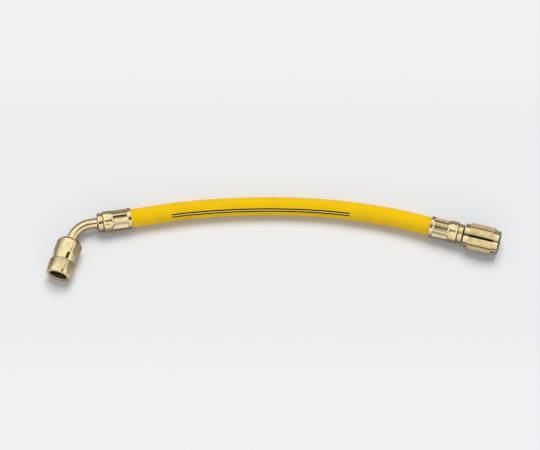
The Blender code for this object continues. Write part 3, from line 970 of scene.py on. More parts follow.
def smooth_route(step):
    """Points of the free hose from lip to lip, about a step apart."""
    first = Vector(ELBOW_LIP)
    last = Vector(STRAIGHT_LIP)
    stops = [first] + [Vector(knot) for knot in HOSE_ROUTE] + [last]
    slopes = [-heading(ELBOW_AZIMUTH, ELBOW_PITCH) * (stops[1] - first).length]
    for before, after in zip(stops, stops[2:]):
        slopes.append(0.5 * (after - before))
    slopes.append(heading(STRAIGHT_AZIMUTH, STRAIGHT_PITCH) * (last - stops[-2]).length)
    points = []
    for low, high, rise, fall in zip(stops, stops[1:], slopes, slopes[1:]):
        pieces = max(1, round((high - low).length / step))
        for k in range(pieces):
            t = k / pieces
            a = (1.0 + 2.0 * t) * (1.0 - t) ** 2
            b = t * (1.0 - t) ** 2
            c = t * t * (3.0 - 2.0 * t)
            d = t * t * (t - 1.0)
            points.append(low * a + rise * b + high * c + fall * d)
    points.append(last)
    return points


def hose_line(step):
    """Centre line of the whole hose and its outer radius at each point."""
    hose = setting("hose")
    sleeve = setting("sleeve")
    taper_end = sleeve.mouth_length + sleeve.mouth_taper
    depths = (sleeve_marks()["hose_depth"], taper_end, sleeve.mouth_length)
    sizes = (hose.squeezed_radius, hose.squeezed_radius, hose.radius)
    elbow = elbow_frame()
    straight = straight_frame()
    inlet = [elbow @ Vector((0.0, 0.0, depth)) for depth in depths]
    outlet = [straight @ Vector((0.0, 0.0, depth)) for depth in reversed(depths)]
    free = smooth_route(step)
    radii = list(sizes) + [hose.radius] * len(free) + list(reversed(sizes))
    return inlet + free + outlet, radii


def sweep_rings(line, radii, angles):
    """Rings across a line, with angles turning from straight up."""
    points = np.array(line)
    ways = np.gradient(points, axis=0)
    rings = []
    for point, way, radius in zip(points, ways, radii):
        rings.append(around(radius, 0.0, angles, axis_frame(Vector(point), Vector(way))))
    return np.array(rings)


def make_hose():
    """Rubber hose with its bore, squeezed inside both sleeves."""
    hose = setting("hose")
    line, radii = hose_line(HOSE_STEP)
    bore_line = line[:4] + line[4:-4:5] + line[-4:]
    angles = full_circle(HOSE_SIDES)
    outer = sweep_rings(line, radii, angles)
    inner = sweep_rings(bore_line, [hose.bore_radius] * len(bore_line), angles)[::-1]
    outer_along = travelled(np.array(line)) - sleeve_marks()["hose_depth"]
    inner_along = outer_along[-1] + travelled(np.array(bore_line[::-1]))
    mesh = skin(
        "hose_tube", np.concatenate((outer, inner)),
        np.concatenate((outer_along, inner_along)), angles,
    )
    shaded(mesh)
    obj = dress(
        new_object("hose_tube", mesh), hose_rubber(), "hose_yellow", "hose_assembly", "hose",
    )
    route = hose_line(ROUTE_STEP)[0]


def jaw_centre():
    """Distance from a sleeve's axis to the middle of a jaw."""
    sleeve = setting("sleeve")
    return sleeve.crimp_radius - sleeve.channel_depth + sleeve.jaw_radius


def sleeve_angles():
    """Angles about a sleeve, closer together at the edges of its ridges."""
    sleeve = setting("sleeve")
    sector = math.tau / sleeve.jaws
    offset = jaw_centre()
    square = offset ** 2 + sleeve.crimp_radius ** 2 - sleeve.jaw_radius ** 2
    edge = math.acos(square / (2.0 * offset * sleeve.crimp_radius))
    fine = 0.25 * (0.5 * sector - edge)
    half = list(np.linspace(0.0, edge - fine, CHANNEL_COLUMNS))
    half += [edge - 0.5 * fine, edge, edge + 0.5 * fine, edge + fine]
    half += list(np.linspace(edge + fine, 0.5 * sector, RIDGE_COLUMNS)[1:])
    both = [-angle for angle in half[-2:0:-1]] + half
    angles = []
    for k in range(sleeve.jaws):
        angles += [k * sector + angle for angle in both]
    return np.array(angles)


def crimped_radius(radii, heights, angles):
    """Outer radii of a sleeve with its channels pressed in and its shoulder petalled."""
    sleeve = setting("sleeve")
    sector = math.tau / sleeve.jaws
    local = (angles + 0.5 * sector) % sector - 0.5 * sector
    offset = jaw_centre()
    crimp_end = sleeve.lip_length + sleeve.crimp_length
    leaving = math.acos(1.0 - sleeve.channel_depth / sleeve.jaw_radius)
    end_length = sleeve.channel_runout / math.sin(leaving)
    past = np.clip((heights - crimp_end + sleeve.channel_runout) / end_length, 0.0, JAW_REACH)
    jaw = sleeve.jaw_radius * np.sqrt(1.0 - past ** 2)
    step_in = np.clip(1.0 - (heights - sleeve.lip_length) / LIP_BLEND, 0.0, 2.0)
    jaw = jaw - JAW_LIFT * sleeve.channel_depth * step_in ** 2
    under = np.clip(jaw ** 2 - (offset * np.sin(local)) ** 2, 0.0, None)
    channel = offset * np.cos(local) - np.sqrt(under)
    valley = (0.5 - 0.5 * np.cos(sleeve.jaws * local)) ** PETAL_SHARPNESS
    rise = np.clip((heights - crimp_end + EDGE) / PETAL_BLEND, 0.0, 1.0)
    petals = sleeve.shoulder_radius - sleeve.petal_depth * valley * rise ** 2 * (3.0 - 2.0 * rise)
    petals = np.where(heights < crimp_end - EDGE, 1.0, petals)
    soft = sleeve.ridge_soft
    shaped = radii
    for limit in (channel, petals):
        near = np.clip(soft - np.abs(shaped - limit), 0.0, None) / soft
        shaped = np.minimum(shaped, limit) - 0.25 * soft * near ** 2
    return shaped


def make_sleeve(name, place, roll, node):
    """Crimped sleeve with eight channels, a plain lip and a petalled shoulder."""
    hose = setting("hose")
    stem = setting("stem")
    sleeve = setting("sleeve")
    marks = sleeve_marks()
    crimp_end = sleeve.lip_length + sleeve.crimp_length
    mouth_r = hose.radius + FIT_GAP
    pocket_r = hose.squeezed_radius + FIT_GAP
    grip_r = stem.groove_radius + FIT_GAP
    taper_end = sleeve.mouth_length + sleeve.mouth_taper
    corners = [
        (sleeve.lip_radius, 0.0, EDGE),
        (sleeve.lip_radius, sleeve.lip_length, 0.5 * EDGE),
        (sleeve.crimp_radius, sleeve.lip_length + 0.7 * EDGE, 0.5 * EDGE),
        (sleeve.crimp_radius, crimp_end, SHOULDER_BLEND),
        (sleeve.shoulder_radius, crimp_end + sleeve.shoulder_round, SHOULDER_BLEND),
        (sleeve.shoulder_radius, marks["length"], sleeve.shoulder_round),
        (grip_r, marks["length"], 0.0),
        (grip_r, marks["wall_start"], 0.0),
        (pocket_r, marks["wall_start"], 0.0),
        (pocket_r, taper_end, 0.0),
        (mouth_r, sleeve.mouth_length, 0.0),
        (mouth_r, 0.0, 0.5 * EDGE),
    ]
    outline = np.array(refined(rounded(corners), SLEEVE_STEP))
    angles = sleeve_angles()
    radii = crimped_radius(outline[:, :1], outline[:, 1:], angles)
    turned_angles = angles + math.radians(roll) + 0.5 * math.tau / sleeve.jaws
    rings = around(radii, outline[:, 1:], turned_angles, place)
    mesh = skin(name, rings, travelled(outline), angles)
    shaded(mesh)
    dress(new_object(name, mesh), turned_brass(), "brass", "hose_assembly", node)


def barbed_corners():
    """Outer corners of a stem from its tail to the end of its collar."""
    stem = setting("stem")
    marks = sleeve_marks()
    flange_start = marks["flange_start"]
    flange_end = flange_start + stem.flange_length
    corners = []
    for k in range(stem.barbs):
        root = stem.tail_setback + k * stem.barb_pitch
        corners.append((stem.barb_root, root, 0.0))
        corners.append((stem.barb_tip, root + BARB_SLOPE * stem.barb_pitch, BARB_EDGE))
    corners += [
        (stem.barb_root, stem.tail_setback + stem.barbs * stem.barb_pitch, 0.0),
        (stem.barb_root, flange_start, 0.0),
        (stem.flange_radius, flange_start, FINE_EDGE),
        (stem.flange_radius, flange_end, FINE_EDGE),
        (stem.groove_radius, flange_end, 0.0),
        (stem.groove_radius, marks["collar_start"], 0.0),
        (stem.collar_radius, marks["collar_start"], EDGE),
        (stem.collar_radius, marks["collar_end"], EDGE),
    ]
    return corners


def head_corners(rear):
    """Outer corners of a seat head and its nose, from the head's rear face."""
    stem = setting("stem")
    front = rear + stem.head_length
    return [
        (stem.head_radius, rear, FINE_EDGE),
        (stem.head_radius, front, 2.0 * FINE_EDGE),
        (stem.nose_radius, front, 0.5 * FINE_EDGE),
        (stem.nose_radius, front + stem.nose_length, FINE_EDGE),
    ]


def make_elbow_stem():
    """Barbed stem of the elbow end, its collar brazed to the bent tube."""
    stem = setting("stem")
    tube = setting("tube")
    marks = sleeve_marks()
    collar_end = marks["collar_end"]
    socket_start = marks["collar_start"] + tube.socket_wall
    socket_r = tube.radius + FIT_GAP
    reach = tube.braze_reach
    braze_round = 0.6 * reach
    braze_foot = tube.radius + 1.6 * reach
    braze_top = tube.radius + 0.3 * reach
    braze_bore = tube.radius - 0.2 * FIT_GAP
    braze_root = collar_end - 0.4 * reach
    corners = barbed_corners()
    corners += [
        (braze_foot, collar_end, braze_round),
        (braze_top, collar_end + 0.9 * reach, braze_round),
        (braze_bore, collar_end + 1.5 * reach, 0.0),
        (braze_bore, braze_root, 0.0),
        (socket_r, braze_root, 0.0),
        (socket_r, socket_start, 0.0),
        (stem.bore_radius, socket_start, 0.0),
        (stem.bore_radius, stem.tail_setback, 0.0),
    ]
    obj = turned("elbow_stem", corners, elbow_frame())
    dress(obj, turned_brass(), "brass", "hose_assembly", "elbow_nipple")


def make_straight_stem():
    """Stem of the straight end in one piece: barbs, collar, neck and seat head."""
    stem = setting("stem")
    marks = sleeve_marks()
    nut_rear = marks["collar_end"] + stem.nut_gap
    head_rear = nut_rear + setting("knurled").rear_wall + FIT_GAP
    corners = barbed_corners()
    corners += [
        (stem.neck_radius, marks["collar_end"], 2.0 * FINE_EDGE),
        (stem.neck_radius, head_rear, 0.0),
    ]
    corners += head_corners(head_rear)
    corners += [
        (stem.bore_radius, corners[-1][1], FINE_EDGE),
        (stem.bore_radius, stem.tail_setback, 0.0),
    ]
    # Painted shade darkens the stem's bore
    obj = turned("straight_stem_piece", corners, straight_frame(), stem.neck_radius + FIT_GAP)
    dress(obj, turned_brass(), "brass", "hose_assembly", "straight_stem")


def make_seat():
    """Seat head brazed on the bent tube, inside the hexagon nut."""
    stem = setting("stem")
    tube = setting("tube")
    rear = setting("hexagon").rear_wall + FIT_GAP
    socket_r = tube.radius + FIT_GAP
    socket_end = rear + tube.in_head + FIT_GAP
    corners = head_corners(rear)
    corners += [
        (stem.bore_radius, corners[-1][1], FINE_EDGE),
        (stem.bore_radius, socket_end, 0.0),
        (socket_r, socket_end, 0.0),
        (socket_r, rear, 0.0),
    ]
    obj = turned("elbow_seat_head", corners, nut_frame("elbow_nut_spin"))
    dress(obj, turned_brass(), "brass", "hose_assembly", "elbow_seat")


def make_gasket(name, rear_wall, joint_name, node):
    """Rubber ring around the nose of a seat head, its edges softly rounded."""
    stem = setting("stem")
    low = rear_wall + stem.head_length + 2.0 * FIT_GAP
    high = low + stem.gasket_thickness
    hole_r = stem.nose_radius + FIT_GAP
    corners = [
        (stem.head_radius, low, 2.0 * FINE_EDGE),
        (stem.head_radius, high, 4.0 * FINE_EDGE),
        (hole_r, high, 4.0 * FINE_EDGE),
        (hole_r, low, 2.0 * FINE_EDGE),
    ]
    obj = turned(name, corners, nut_frame(joint_name))
    dress(obj, gasket_rubber(), "gasket_rubber", "hose_assembly", node)


def build_bent_tube(name):
    """Geometry nodes that bend a line of three points and run a tube along it."""
    tree, given, made = new_geometry_group(
        name,
        {
            "Bend Radius": 0.016,
            "Bend Steps": BEND_STEPS,
            "Tube Radius": 0.0035,
            "Sides": TUBE_SIDES,
        },
    )
    bend = {
        "Curve": given["Geometry"],
        "Count": given["Bend Steps"],
        "Radius": given["Bend Radius"],
    }
    bent = add_node(tree, "GeometryNodeFilletCurve", bend, mode="POLY")
    ring = add_node(
        tree, "GeometryNodeCurvePrimitiveCircle",
        {"Resolution": given["Sides"], "Radius": given["Tube Radius"]},
    )
    tube = add_node(
        tree, "GeometryNodeCurveToMesh",
        {"Curve": bent.outputs["Curve"], "Profile Curve": ring.outputs["Curve"]},
    )
    finish_tree(tree, tube.outputs["Mesh"], given, made)
    return tree


def finish_tree(tree, geometry, given, made):
    """End a geometry tree: realize its instances and set the material."""
    real = add_node(tree, "GeometryNodeRealizeInstances", {"Geometry": geometry})
    painted = add_node(
        tree, "GeometryNodeSetMaterial",
        {"Geometry": real.outputs["Geometry"], "Material": given["Material"]},
    )
    tree.links.new(painted.outputs["Geometry"], made["Geometry"])


def grown(name, data, place, group, values):
    """Plain mesh object that a geometry tree makes, put at a frame."""
    obj = new_object(name, data)
    modifier = obj.modifiers.new(group.name, "NODES")
    modifier.node_group = group
    for item in group.interface.items_tree:
        if item.in_out == "INPUT" and item.name in values:
            modifier[item.identifier] = values[item.name]
    obj.matrix_world = place
    return settled(obj)


def make_tube():
    """Bent tube from the collar's socket to the seat head, with its bore."""
    tube = setting("tube")
    elbow = elbow_frame()
    nut = nut_frame("elbow_nut_spin")
    first = elbow.col[2].xyz
    second = nut.col[2].xyz
    apart = nut.translation - elbow.translation
    across = first.cross(second)
    to_corner = apart.cross(second).dot(across) / across.length_squared
    from_lip = sleeve_marks()["collar_start"] + tube.socket_wall + FIT_GAP
    into_head = setting("hexagon").rear_wall + FIT_GAP + tube.in_head
    knots = (
        elbow @ Vector((0.0, 0.0, from_lip)),
        elbow.translation + first * to_corner,
        nut @ Vector((0.0, 0.0, into_head)),
    )
    curve = bpy.data.curves.new("elbow_tube_line", "CURVE")
    curve.dimensions = "3D"
    spline = curve.splines.new("POLY")
    spline.points.add(2)
    for point, knot in zip(spline.points, knots):
        point.co = (*knot, 1.0)
    values = {
        "Bend Radius": tube.bend_radius,
        "Bend Steps": BEND_STEPS,
        "Tube Radius": tube.radius,
        "Sides": TUBE_SIDES,
        "Material": drawn_brass(),
    }
    group = shared_group("Bent tube", build_bent_tube)
    obj = grown("bent_tube", curve, Matrix.Identity(4), group, values)
    wall = obj.modifiers.new("Wall", "SOLIDIFY")
    wall.thickness = tube.radius - tube.bore_radius
    wall.offset = -1.0
    obj.data.shade_smooth()
    obj = settled(obj)
    obj.data.set_sharp_from_angle(angle=math.radians(SHARP_ANGLE))
    dress(obj, drawn_brass(), "brass", "hose_assembly", "elbow_tube")


def dress_depressor():
    """Finish of the small pin that shows deep in the hexagon nut's mouth."""
    node = frame["nodes"]["elbow_core_depressor"]
    for slot in node.material_slots:
        slot.material = drawn_brass()


def gasket_front(rear_wall):
    """Distance from a nut's rear face to the front of the gasket in it."""
    stem = setting("stem")
    return rear_wall + 2.0 * FIT_GAP + stem.head_length + stem.gasket_thickness


def bore_corners(hole_r, rear_wall, length):
    """Inner corners of a nut, from its mouth back to its rear hole."""
    mouth = setting("mouth")
    chamfer = mouth.mouth_radius - mouth.root_radius
    front = gasket_front(rear_wall)
    return [
        (mouth.mouth_radius, length, STAY),
        (mouth.root_radius, length - chamfer, STAY),
        (mouth.root_radius, front + mouth.relief, STAY),
        (mouth.pocket_radius, front, STAY),
        (mouth.pocket_radius, rear_wall, STAY),
        (hole_r, rear_wall, STAY),
        (hole_r, 0.0, STAY),
    ]


def hexagon_marks():
    """Distances from the hexagon nut's rear face to where its bands begin."""
    hexagon = setting("hexagon")
    waist = hexagon.rear_cone + hexagon.rear_band
    front_band = waist + hexagon.waist
    ring = front_band + hexagon.front_band
    return waist, front_band, ring, ring + hexagon.ring


def make_hexagon_nut():
    """Long hexagon nut with a turned waist and a round ring at its mouth."""
    hexagon = setting("hexagon")
    tube = setting("tube")
    waist, front_band, ring, length = hexagon_marks()
    corners = [
        (hexagon.rear_radius, 0.0, STAY),
        (hexagon.corner_radius, hexagon.rear_cone, SLIDE_BACK),
        (hexagon.corner_radius, waist, SINK),
        (hexagon.waist_rear_radius, waist + EDGE, SLIDE_ON),
        (hexagon.waist_radius, front_band - hexagon.waist_step, STAY),
        (hexagon.corner_radius, front_band, SLIDE_BACK),
        (hexagon.corner_radius, ring - 0.4 * EDGE, SINK),
        (hexagon.ring_radius, ring + 0.6 * EDGE, STAY),
        (hexagon.ring_radius, length - 2.0 * EDGE, STAY),
        (hexagon.ring_radius - 0.7 * EDGE, length - 0.7 * EDGE, STAY),
        (hexagon.ring_radius - 2.0 * EDGE, length, STAY),
    ]
    outer = len(corners)
    corners += bore_corners(tube.radius + RUNNING_GAP, hexagon.rear_wall, length)
    sector = math.tau / hexagon.sides
    half_flats = 0.5 * hexagon.flats
    edge = math.acos(half_flats / hexagon.corner_radius)
    local = list(np.linspace(-edge, edge, FLAT_COLUMNS))
    local += list(np.linspace(edge, sector - edge, CORNER_COLUMNS)[1:-1])
    angles = []
    limits = []
    for k in range(hexagon.sides):
        for angle in local:
            angles.append(k * sector + angle)
            flat = half_flats / math.cos(angle) if angle < edge + MERGE else hexagon.corner_radius
            limits.append(min(flat, hexagon.corner_radius))
    angles = np.array(angles)
    flat_edges = np.isclose(np.abs((angles + edge) % sector - edge), edge)
    rear_rows = slice(1, 3)
    front_rows = slice(5, 7)
    step_row = 5
    # Painted shade: dark lines along the flats' edges, a darker step up from the waist, the bore
    # fully dark
    shade_and_grime = np.zeros((len(corners), len(angles)))
    shade_and_grime[rear_rows, flat_edges] = hexagon.edge_shade
    shade_and_grime[front_rows, flat_edges] = hexagon.edge_shade
    shade_and_grime[step_row] = np.maximum(shade_and_grime[step_row], STEP_SHADE * hexagon.edge_shade)
    shade_and_grime[outer + 1:] = 1.0
    place = nut_frame("elbow_nut_spin")
    obj = milled("hexagon_nut_body", corners, limits, angles, place, hexagon.edge, shade_and_grime)
    dress(obj, turned_brass(), "brass", "hexagon_nut", "elbow_nut")


def knurled_marks():
    """Distances from the knurled nut's rear face to where its bands begin."""
    knurled = setting("knurled")
    knurl_end = knurled.rear_length + knurled.knurl_length
    return knurl_end, knurl_end + knurled.front_length


def groove_slope():
    """How fast a groove widens on its way out."""
    knurled = setting("knurled")
    return knurled.groove_half / (knurled.knurl_radius - knurled.groove_floor)


def groove_angle(radius):
    """Half of the angle that a groove opens to at a radius."""
    lean = math.atan(groove_slope())
    return lean - math.asin(setting("knurled").groove_floor * math.sin(lean) / radius)


def make_knurled_nut():
    """Finger nut with plain bands at both ends and eight raised lobes between them."""
    knurled = setting("knurled")
    stem = setting("stem")
    knurl_end, length = knurled_marks()
    lobe_r = knurled.knurl_radius - knurled.knurl_height
    corners = [
        (knurled.rear_radius, 0.0, SINK),
        (knurled.rear_radius, knurled.rear_length, SINK),
        (lobe_r, knurled.rear_length + 0.5 * EDGE, SINK),
        (lobe_r, knurl_end - EDGE, SINK),
        (lobe_r - EDGE, knurl_end, SINK),
        (knurled.front_radius, knurl_end + 0.5 * EDGE, SINK),
        (knurled.front_radius, length, SINK),
    ]
    outer = len(corners)
    corners += bore_corners(stem.neck_radius + RUNNING_GAP, knurled.rear_wall, length)
    sector = math.tau / knurled.grooves
    band = groove_angle(knurled.rear_radius)
    edge = groove_angle(lobe_r)
    groove = [0.0, 0.5 * band, band, 0.5 * (band + edge), edge]
    local = [-angle for angle in groove[:0:-1]] + groove
    local += list(np.linspace(edge, sector - edge, LOBE_COLUMNS)[1:-1])
    slope = groove_slope()
    angles = []
    limits = []
    for k in range(knurled.grooves):
        for angle in local:
            angles.append((k + 0.5) * sector + angle)
            wall = slope * math.cos(angle) - abs(math.sin(angle))
            inside = abs(angle) < edge + MERGE
            limits.append(slope * knurled.groove_floor / wall if inside else lobe_r)
    # Painted shade: grooves darker the deeper they are, the knurled band darker between its
    # points, the bore fully dark
    depths = (lobe_r - np.array(limits)) / (lobe_r - knurled.groove_floor)
    knurled_rows = slice(2, 4)
    shade_and_grime = np.tile(depths, (len(corners), 1))
    shade_and_grime[knurled_rows] = np.maximum(shade_and_grime[knurled_rows], knurled.knurl_shade)
    shade_and_grime[outer:] = 0.0
    shade_and_grime[outer + 1:] = 1.0
    place = nut_frame("straight_nut_spin")
    obj = milled(
        "knurled_nut_body", corners, limits, np.array(angles), place, knurled.edge, shade_and_grime,
    )
    dress(obj, turned_brass(), "brass", "knurled_nut", "straight_nut")


def build_knurl(name):
    """Geometry nodes that set rows of small points on the lobes of a nut."""
    tree, given, made = new_geometry_group(
        name,
        {
            "Radius": 0.009,
            "Start": 0.003,
            "Pitch": 0.0009,
            "Height": 0.0002,
            "Lobes": 8,
            "Columns": 5,
            "Rows": 36,
        },
    )
    columns = given["Columns"]
    pitch = given["Pitch"]
    radius = given["Radius"]
    on_lobe = calculate(tree, "MULTIPLY", columns, given["Rows"])
    total = calculate(tree, "MULTIPLY", on_lobe, given["Lobes"])
    index = tree.nodes.new("GeometryNodeInputIndex").outputs["Index"]
    lobe = calculate(tree, "FLOOR", calculate(tree, "DIVIDE", index, on_lobe))
    rest = calculate(tree, "SUBTRACT", index, calculate(tree, "MULTIPLY", lobe, on_lobe))
    row = calculate(tree, "FLOOR", calculate(tree, "DIVIDE", rest, columns))
    column = calculate(tree, "SUBTRACT", rest, calculate(tree, "MULTIPLY", row, columns))
    stagger = calculate(tree, "MULTIPLY_ADD", calculate(tree, "MODULO", row, 2.0), 0.5, -0.25)
    centred = calculate(tree, "MULTIPLY_ADD", columns, -0.5, column)
    shifted = calculate(tree, "ADD", calculate(tree, "ADD", centred, 0.5), stagger)
    swing = calculate(tree, "DIVIDE", calculate(tree, "MULTIPLY", shifted, pitch), radius)
    sector = calculate(tree, "DIVIDE", math.tau, given["Lobes"])
    angle = calculate(tree, "MULTIPLY_ADD", lobe, sector, swing)
    x = calculate(tree, "MULTIPLY", calculate(tree, "SINE", angle), radius)
    y = calculate(tree, "MULTIPLY", calculate(tree, "COSINE", angle), radius)
    half_pitch = calculate(tree, "MULTIPLY", pitch, 0.5)
    along = calculate(tree, "ADD", row, 1.0)
    z = calculate(tree, "MULTIPLY_ADD", along, half_pitch, given["Start"])
    spot = joined(tree, calculate(tree, "MULTIPLY", x, -1.0), y, z)
    points = add_node(tree, "GeometryNodePoints", {"Count": total, "Position": spot})
    point = add_node(
        tree, "GeometryNodeMeshCone",
        {"Vertices": 4, "Radius Top": 0.0, "Radius Bottom": 1.0, "Depth": 1.0},
    )
    lean = joined(tree, x=-0.5 * math.pi, z=angle)
    facing = add_node(tree, "FunctionNodeEulerToRotation", {"Euler": lean})
    placed = add_node(
        tree, "GeometryNodeInstanceOnPoints",
        {
            "Points": points.outputs["Points"],
            "Instance": point.outputs["Mesh"],
            "Rotation": facing.outputs["Rotation"],
            "Scale": joined(tree, half_pitch, half_pitch, given["Height"]),
        },
    )
    finish_tree(tree, placed.outputs["Instances"], given, made)
    return tree


def make_knurl():
    """Diamond points of the knurl, rolled on the lobes between the grooves."""
    knurled = setting("knurled")
    pitch = knurled.knurl_pitch
    sunk = KNURL_SINK * knurled.knurl_height
    lobe_r = knurled.knurl_radius - knurled.knurl_height
    lobe = math.tau / knurled.grooves - 2.0 * groove_angle(lobe_r)
    rolled = knurled.knurl_length - EDGE
    rows = math.floor(2.0 * rolled / pitch) - 1
    spare = rolled - 0.5 * (rows + 1) * pitch
    values = {
        "Radius": lobe_r - sunk,
        "Start": knurled.rear_length + 0.5 * spare,
        "Pitch": pitch,
        "Height": knurled.knurl_height + sunk,
        "Lobes": knurled.grooves,
        "Columns": math.floor(lobe * lobe_r / pitch - 0.5),
        "Rows": rows,
        "Material": knurled_brass(),
    }
    blank = bpy.data.meshes.new("knurl_seed")
    group = shared_group("Knurl", build_knurl)
    obj = grown("knurl_points", blank, nut_frame("straight_nut_spin"), group, values)
    dress(obj, knurled_brass(), "brass", "knurled_nut")


def build_thread(name):
    """Geometry nodes that wind a thread's ridge round a nut's inner wall."""
    tree, given, made = new_geometry_group(
        name,
        {"Radius": 0.0056, "Start": 0.014, "Length": 0.012, "Pitch": 0.00127, "Depth": 0.00055},
    )
    turns = calculate(tree, "DIVIDE", given["Length"], given["Pitch"])
    spiral = add_node(
        tree, "GeometryNodeCurveSpiral",
        {
            "Resolution": THREAD_STEPS,
            "Rotations": turns,
            "Start Radius": given["Radius"],
            "End Radius": given["Radius"],
            "Height": given["Length"],
        },
    )
    upright = add_node(
        tree, "GeometryNodeSetCurveNormal", {"Curve": spiral.outputs["Curve"]}, mode="Z_UP",
    )
    ridge = add_node(
        tree, "GeometryNodeCurvePrimitiveCircle", {"Resolution": 4, "Radius": given["Depth"]},
    )
    share = tree.nodes.new("GeometryNodeSplineParameter").outputs["Factor"]
    from_end = calculate(tree, "MINIMUM", share, calculate(tree, "SUBTRACT", 1.0, share))
    run_in = calculate(tree, "MULTIPLY", calculate(tree, "MULTIPLY", from_end, turns), RUN_IN)
    full = calculate(tree, "MINIMUM", calculate(tree, "ADD", run_in, THREAD_TIP), 1.0)
    wound = add_node(
        tree, "GeometryNodeCurveToMesh",
        {
            "Curve": upright.outputs["Curve"],
            "Profile Curve": ridge.outputs["Curve"],
            "Scale": full,
            "Fill Caps": True,
        },
    )
    lift = joined(tree, z=given["Start"])
    moved = add_node(
        tree, "GeometryNodeTransform", {"Geometry": wound.outputs["Mesh"], "Translation": lift},
    )
    finish_tree(tree, moved.outputs["Geometry"], given, made)
    return tree


def make_thread(name, rear_wall, length, joint_name, body):
    """Thread inside a nut's mouth, with painted shade that grows the deeper a point lies in it.
    """
    mouth = setting("mouth")
    start = gasket_front(rear_wall) + mouth.relief + 0.5 * mouth.pitch
    chamfer = mouth.mouth_radius - mouth.root_radius
    end = length - chamfer - THREAD_SETBACK * mouth.pitch
    values = {
        "Radius": mouth.root_radius,
        "Start": start,
        "Length": end - start,
        "Pitch": mouth.pitch,
        "Depth": mouth.depth,
        "Material": threaded_brass(),
    }
    blank = bpy.data.meshes.new(name + "_seed")
    place = nut_frame(joint_name)
    obj = grown(name, blank, place, shared_group("Thread", build_thread), values)
    # Painted shade, darkest at the thread's root and clear at its crest
    inward = place.inverted()
    depths = []
    for vertex in obj.data.vertices:
        radius = (inward @ vertex.co).xy.length
        depths.append(1.0 + (radius - mouth.root_radius) / mouth.depth)
    layer = obj.data.attributes.new(SHADE_AND_GRIME_NAME, "FLOAT", "POINT")
    layer.data.foreach_set("value", depths)
    dress(obj, threaded_brass(), "brass", body)


def make_camera():
    """Camera at the photograph's viewing angle."""
    studio = setting("studio")
    camera = bpy.data.cameras.new("Camera")
    camera.sensor_fit = "HORIZONTAL"
    camera.sensor_width = SENSOR_WIDTH
    camera.lens = SENSOR_WIDTH * studio.distance / studio.view_width
    camera.clip_start = 0.01
    camera.clip_end = 20.0
    target = Vector((studio.target_x, studio.target_y, 0.0))
    back = Vector((0.0, -math.cos(studio.elevation), math.sin(studio.elevation)))
    obj = new_object("Camera", camera)
    obj.location = target + studio.distance * back
    obj.rotation_euler = (0.5 * math.pi - studio.elevation, 0.0, 0.0)
    bpy.context.scene.camera = obj


def plane(name, half_length, half_width):
    """Flat piece of the stage, about the origin."""
    mesh = bpy.data.meshes.new(name)
    work = bmesh.new()
    bmesh.ops.create_grid(
        work, x_segments=1, y_segments=1, size=1.0,
        matrix=Matrix.Diagonal((half_length, half_width, 1.0, 1.0)),
    )
    work.to_mesh(mesh)
    work.free()
    return new_object(name, mesh)


def make_floor():
    """Pale floor with painted shade near the hose, which mirrored rays see darker behind the
    hose.
    """
    studio = setting("studio")
    floor = plane("floor", 0.5 * studio.floor_size, 0.5 * studio.floor_size)
    floor.location = (0.0, 0.0, FLOOR_DROP)
    material, tree, shader, place = new_material("pale_floor")
    depth = parts(tree, place)["Y"]
    away = calculate(tree, "ABSOLUTE", calculate(tree, "SUBTRACT", depth, HOSE_MIDDLE))
    pale = mixed(tree, stepped(tree, away, *PALER_STEP), studio.floor, studio.far_floor)
    glossy = tree.nodes.new("ShaderNodeLightPath").outputs["Is Glossy Ray"]
    dimmed = calculate(tree, "MULTIPLY", stepped(tree, depth, *MIRRORED_STEP), glossy)
    finishes = {
        "Base Color": mixed(tree, dimmed, pale, MIRRORED_FLOOR),
        "Roughness": 0.8,
        "Specular IOR Level": 0.1,
    }
    feed(tree, shader, finishes)
    floor.data.materials.append(material)


def make_lamp():
    """One large soft lamp behind and above the hose."""
    studio = setting("studio")
    lamp = bpy.data.lights.new("Key", "SUN")
    lamp.angle = studio.key_spread
    lamp.energy = studio.key_strength
    lamp.color = KEY_COLOUR
    obj = new_object("Key", lamp)
    obj.location = KEY_PLACE
    obj.rotation_euler = (-obj.location).to_track_quat("-Z", "Y").to_euler()
    obj.visible_glossy = False


def mixed_shader(tree, factor, first, second):
    """Mix of two shaders."""
    return add_node(tree, "ShaderNodeMixShader", {0: factor, 1: first, 2: second}).outputs[0]


def make_patch():
    """Dark patch where the photographer's camera is, seen only in the metal."""
    studio = setting("studio")
    length = studio.patch_length
    width = studio.patch_width
    patch = plane("camera_patch", 2.0 * length, 2.0 * width)
    patch.location = studio.patch_place
    patch.rotation_euler = (0.0, 0.0, studio.patch_turn)
    patch.visible_camera = False
    patch.visible_diffuse = False
    patch.visible_transmission = False
    patch.visible_shadow = False
    material = bpy.data.materials.new("camera_patch")
    material.use_nodes = True
    tree = material.node_tree
    tree.nodes.clear()
    place = tree.nodes.new("ShaderNodeTexCoord").outputs["Object"]
    spread = {0: place, 1: (1.0 / length, 1.0 / width, 1.0)}
    scaled = add_node(tree, "ShaderNodeVectorMath", spread, operation="MULTIPLY")
    away = add_node(tree, "ShaderNodeVectorMath", {0: scaled.outputs[0]}, operation="LENGTH")
    cover = stepped(tree, away.outputs["Value"], *PATCH_STEP)
    clear = tree.nodes.new("ShaderNodeBsdfTransparent").outputs[0]
    dark = add_node(tree, "ShaderNodeEmission", {"Color": opaque(PATCH_DARK), "Strength": 1.0})
    output = tree.nodes.new("ShaderNodeOutputMaterial")
    feed(tree, output, {"Surface": mixed_shader(tree, cover, clear, dark.outputs[0])})
    patch.data.materials.append(material)


def background(tree, shade):
    """Background of a colour, at its plain strength."""
    inputs = {"Color": opaque(shade), "Strength": 1.0}
    return add_node(tree, "ShaderNodeBackground", inputs).outputs[0]


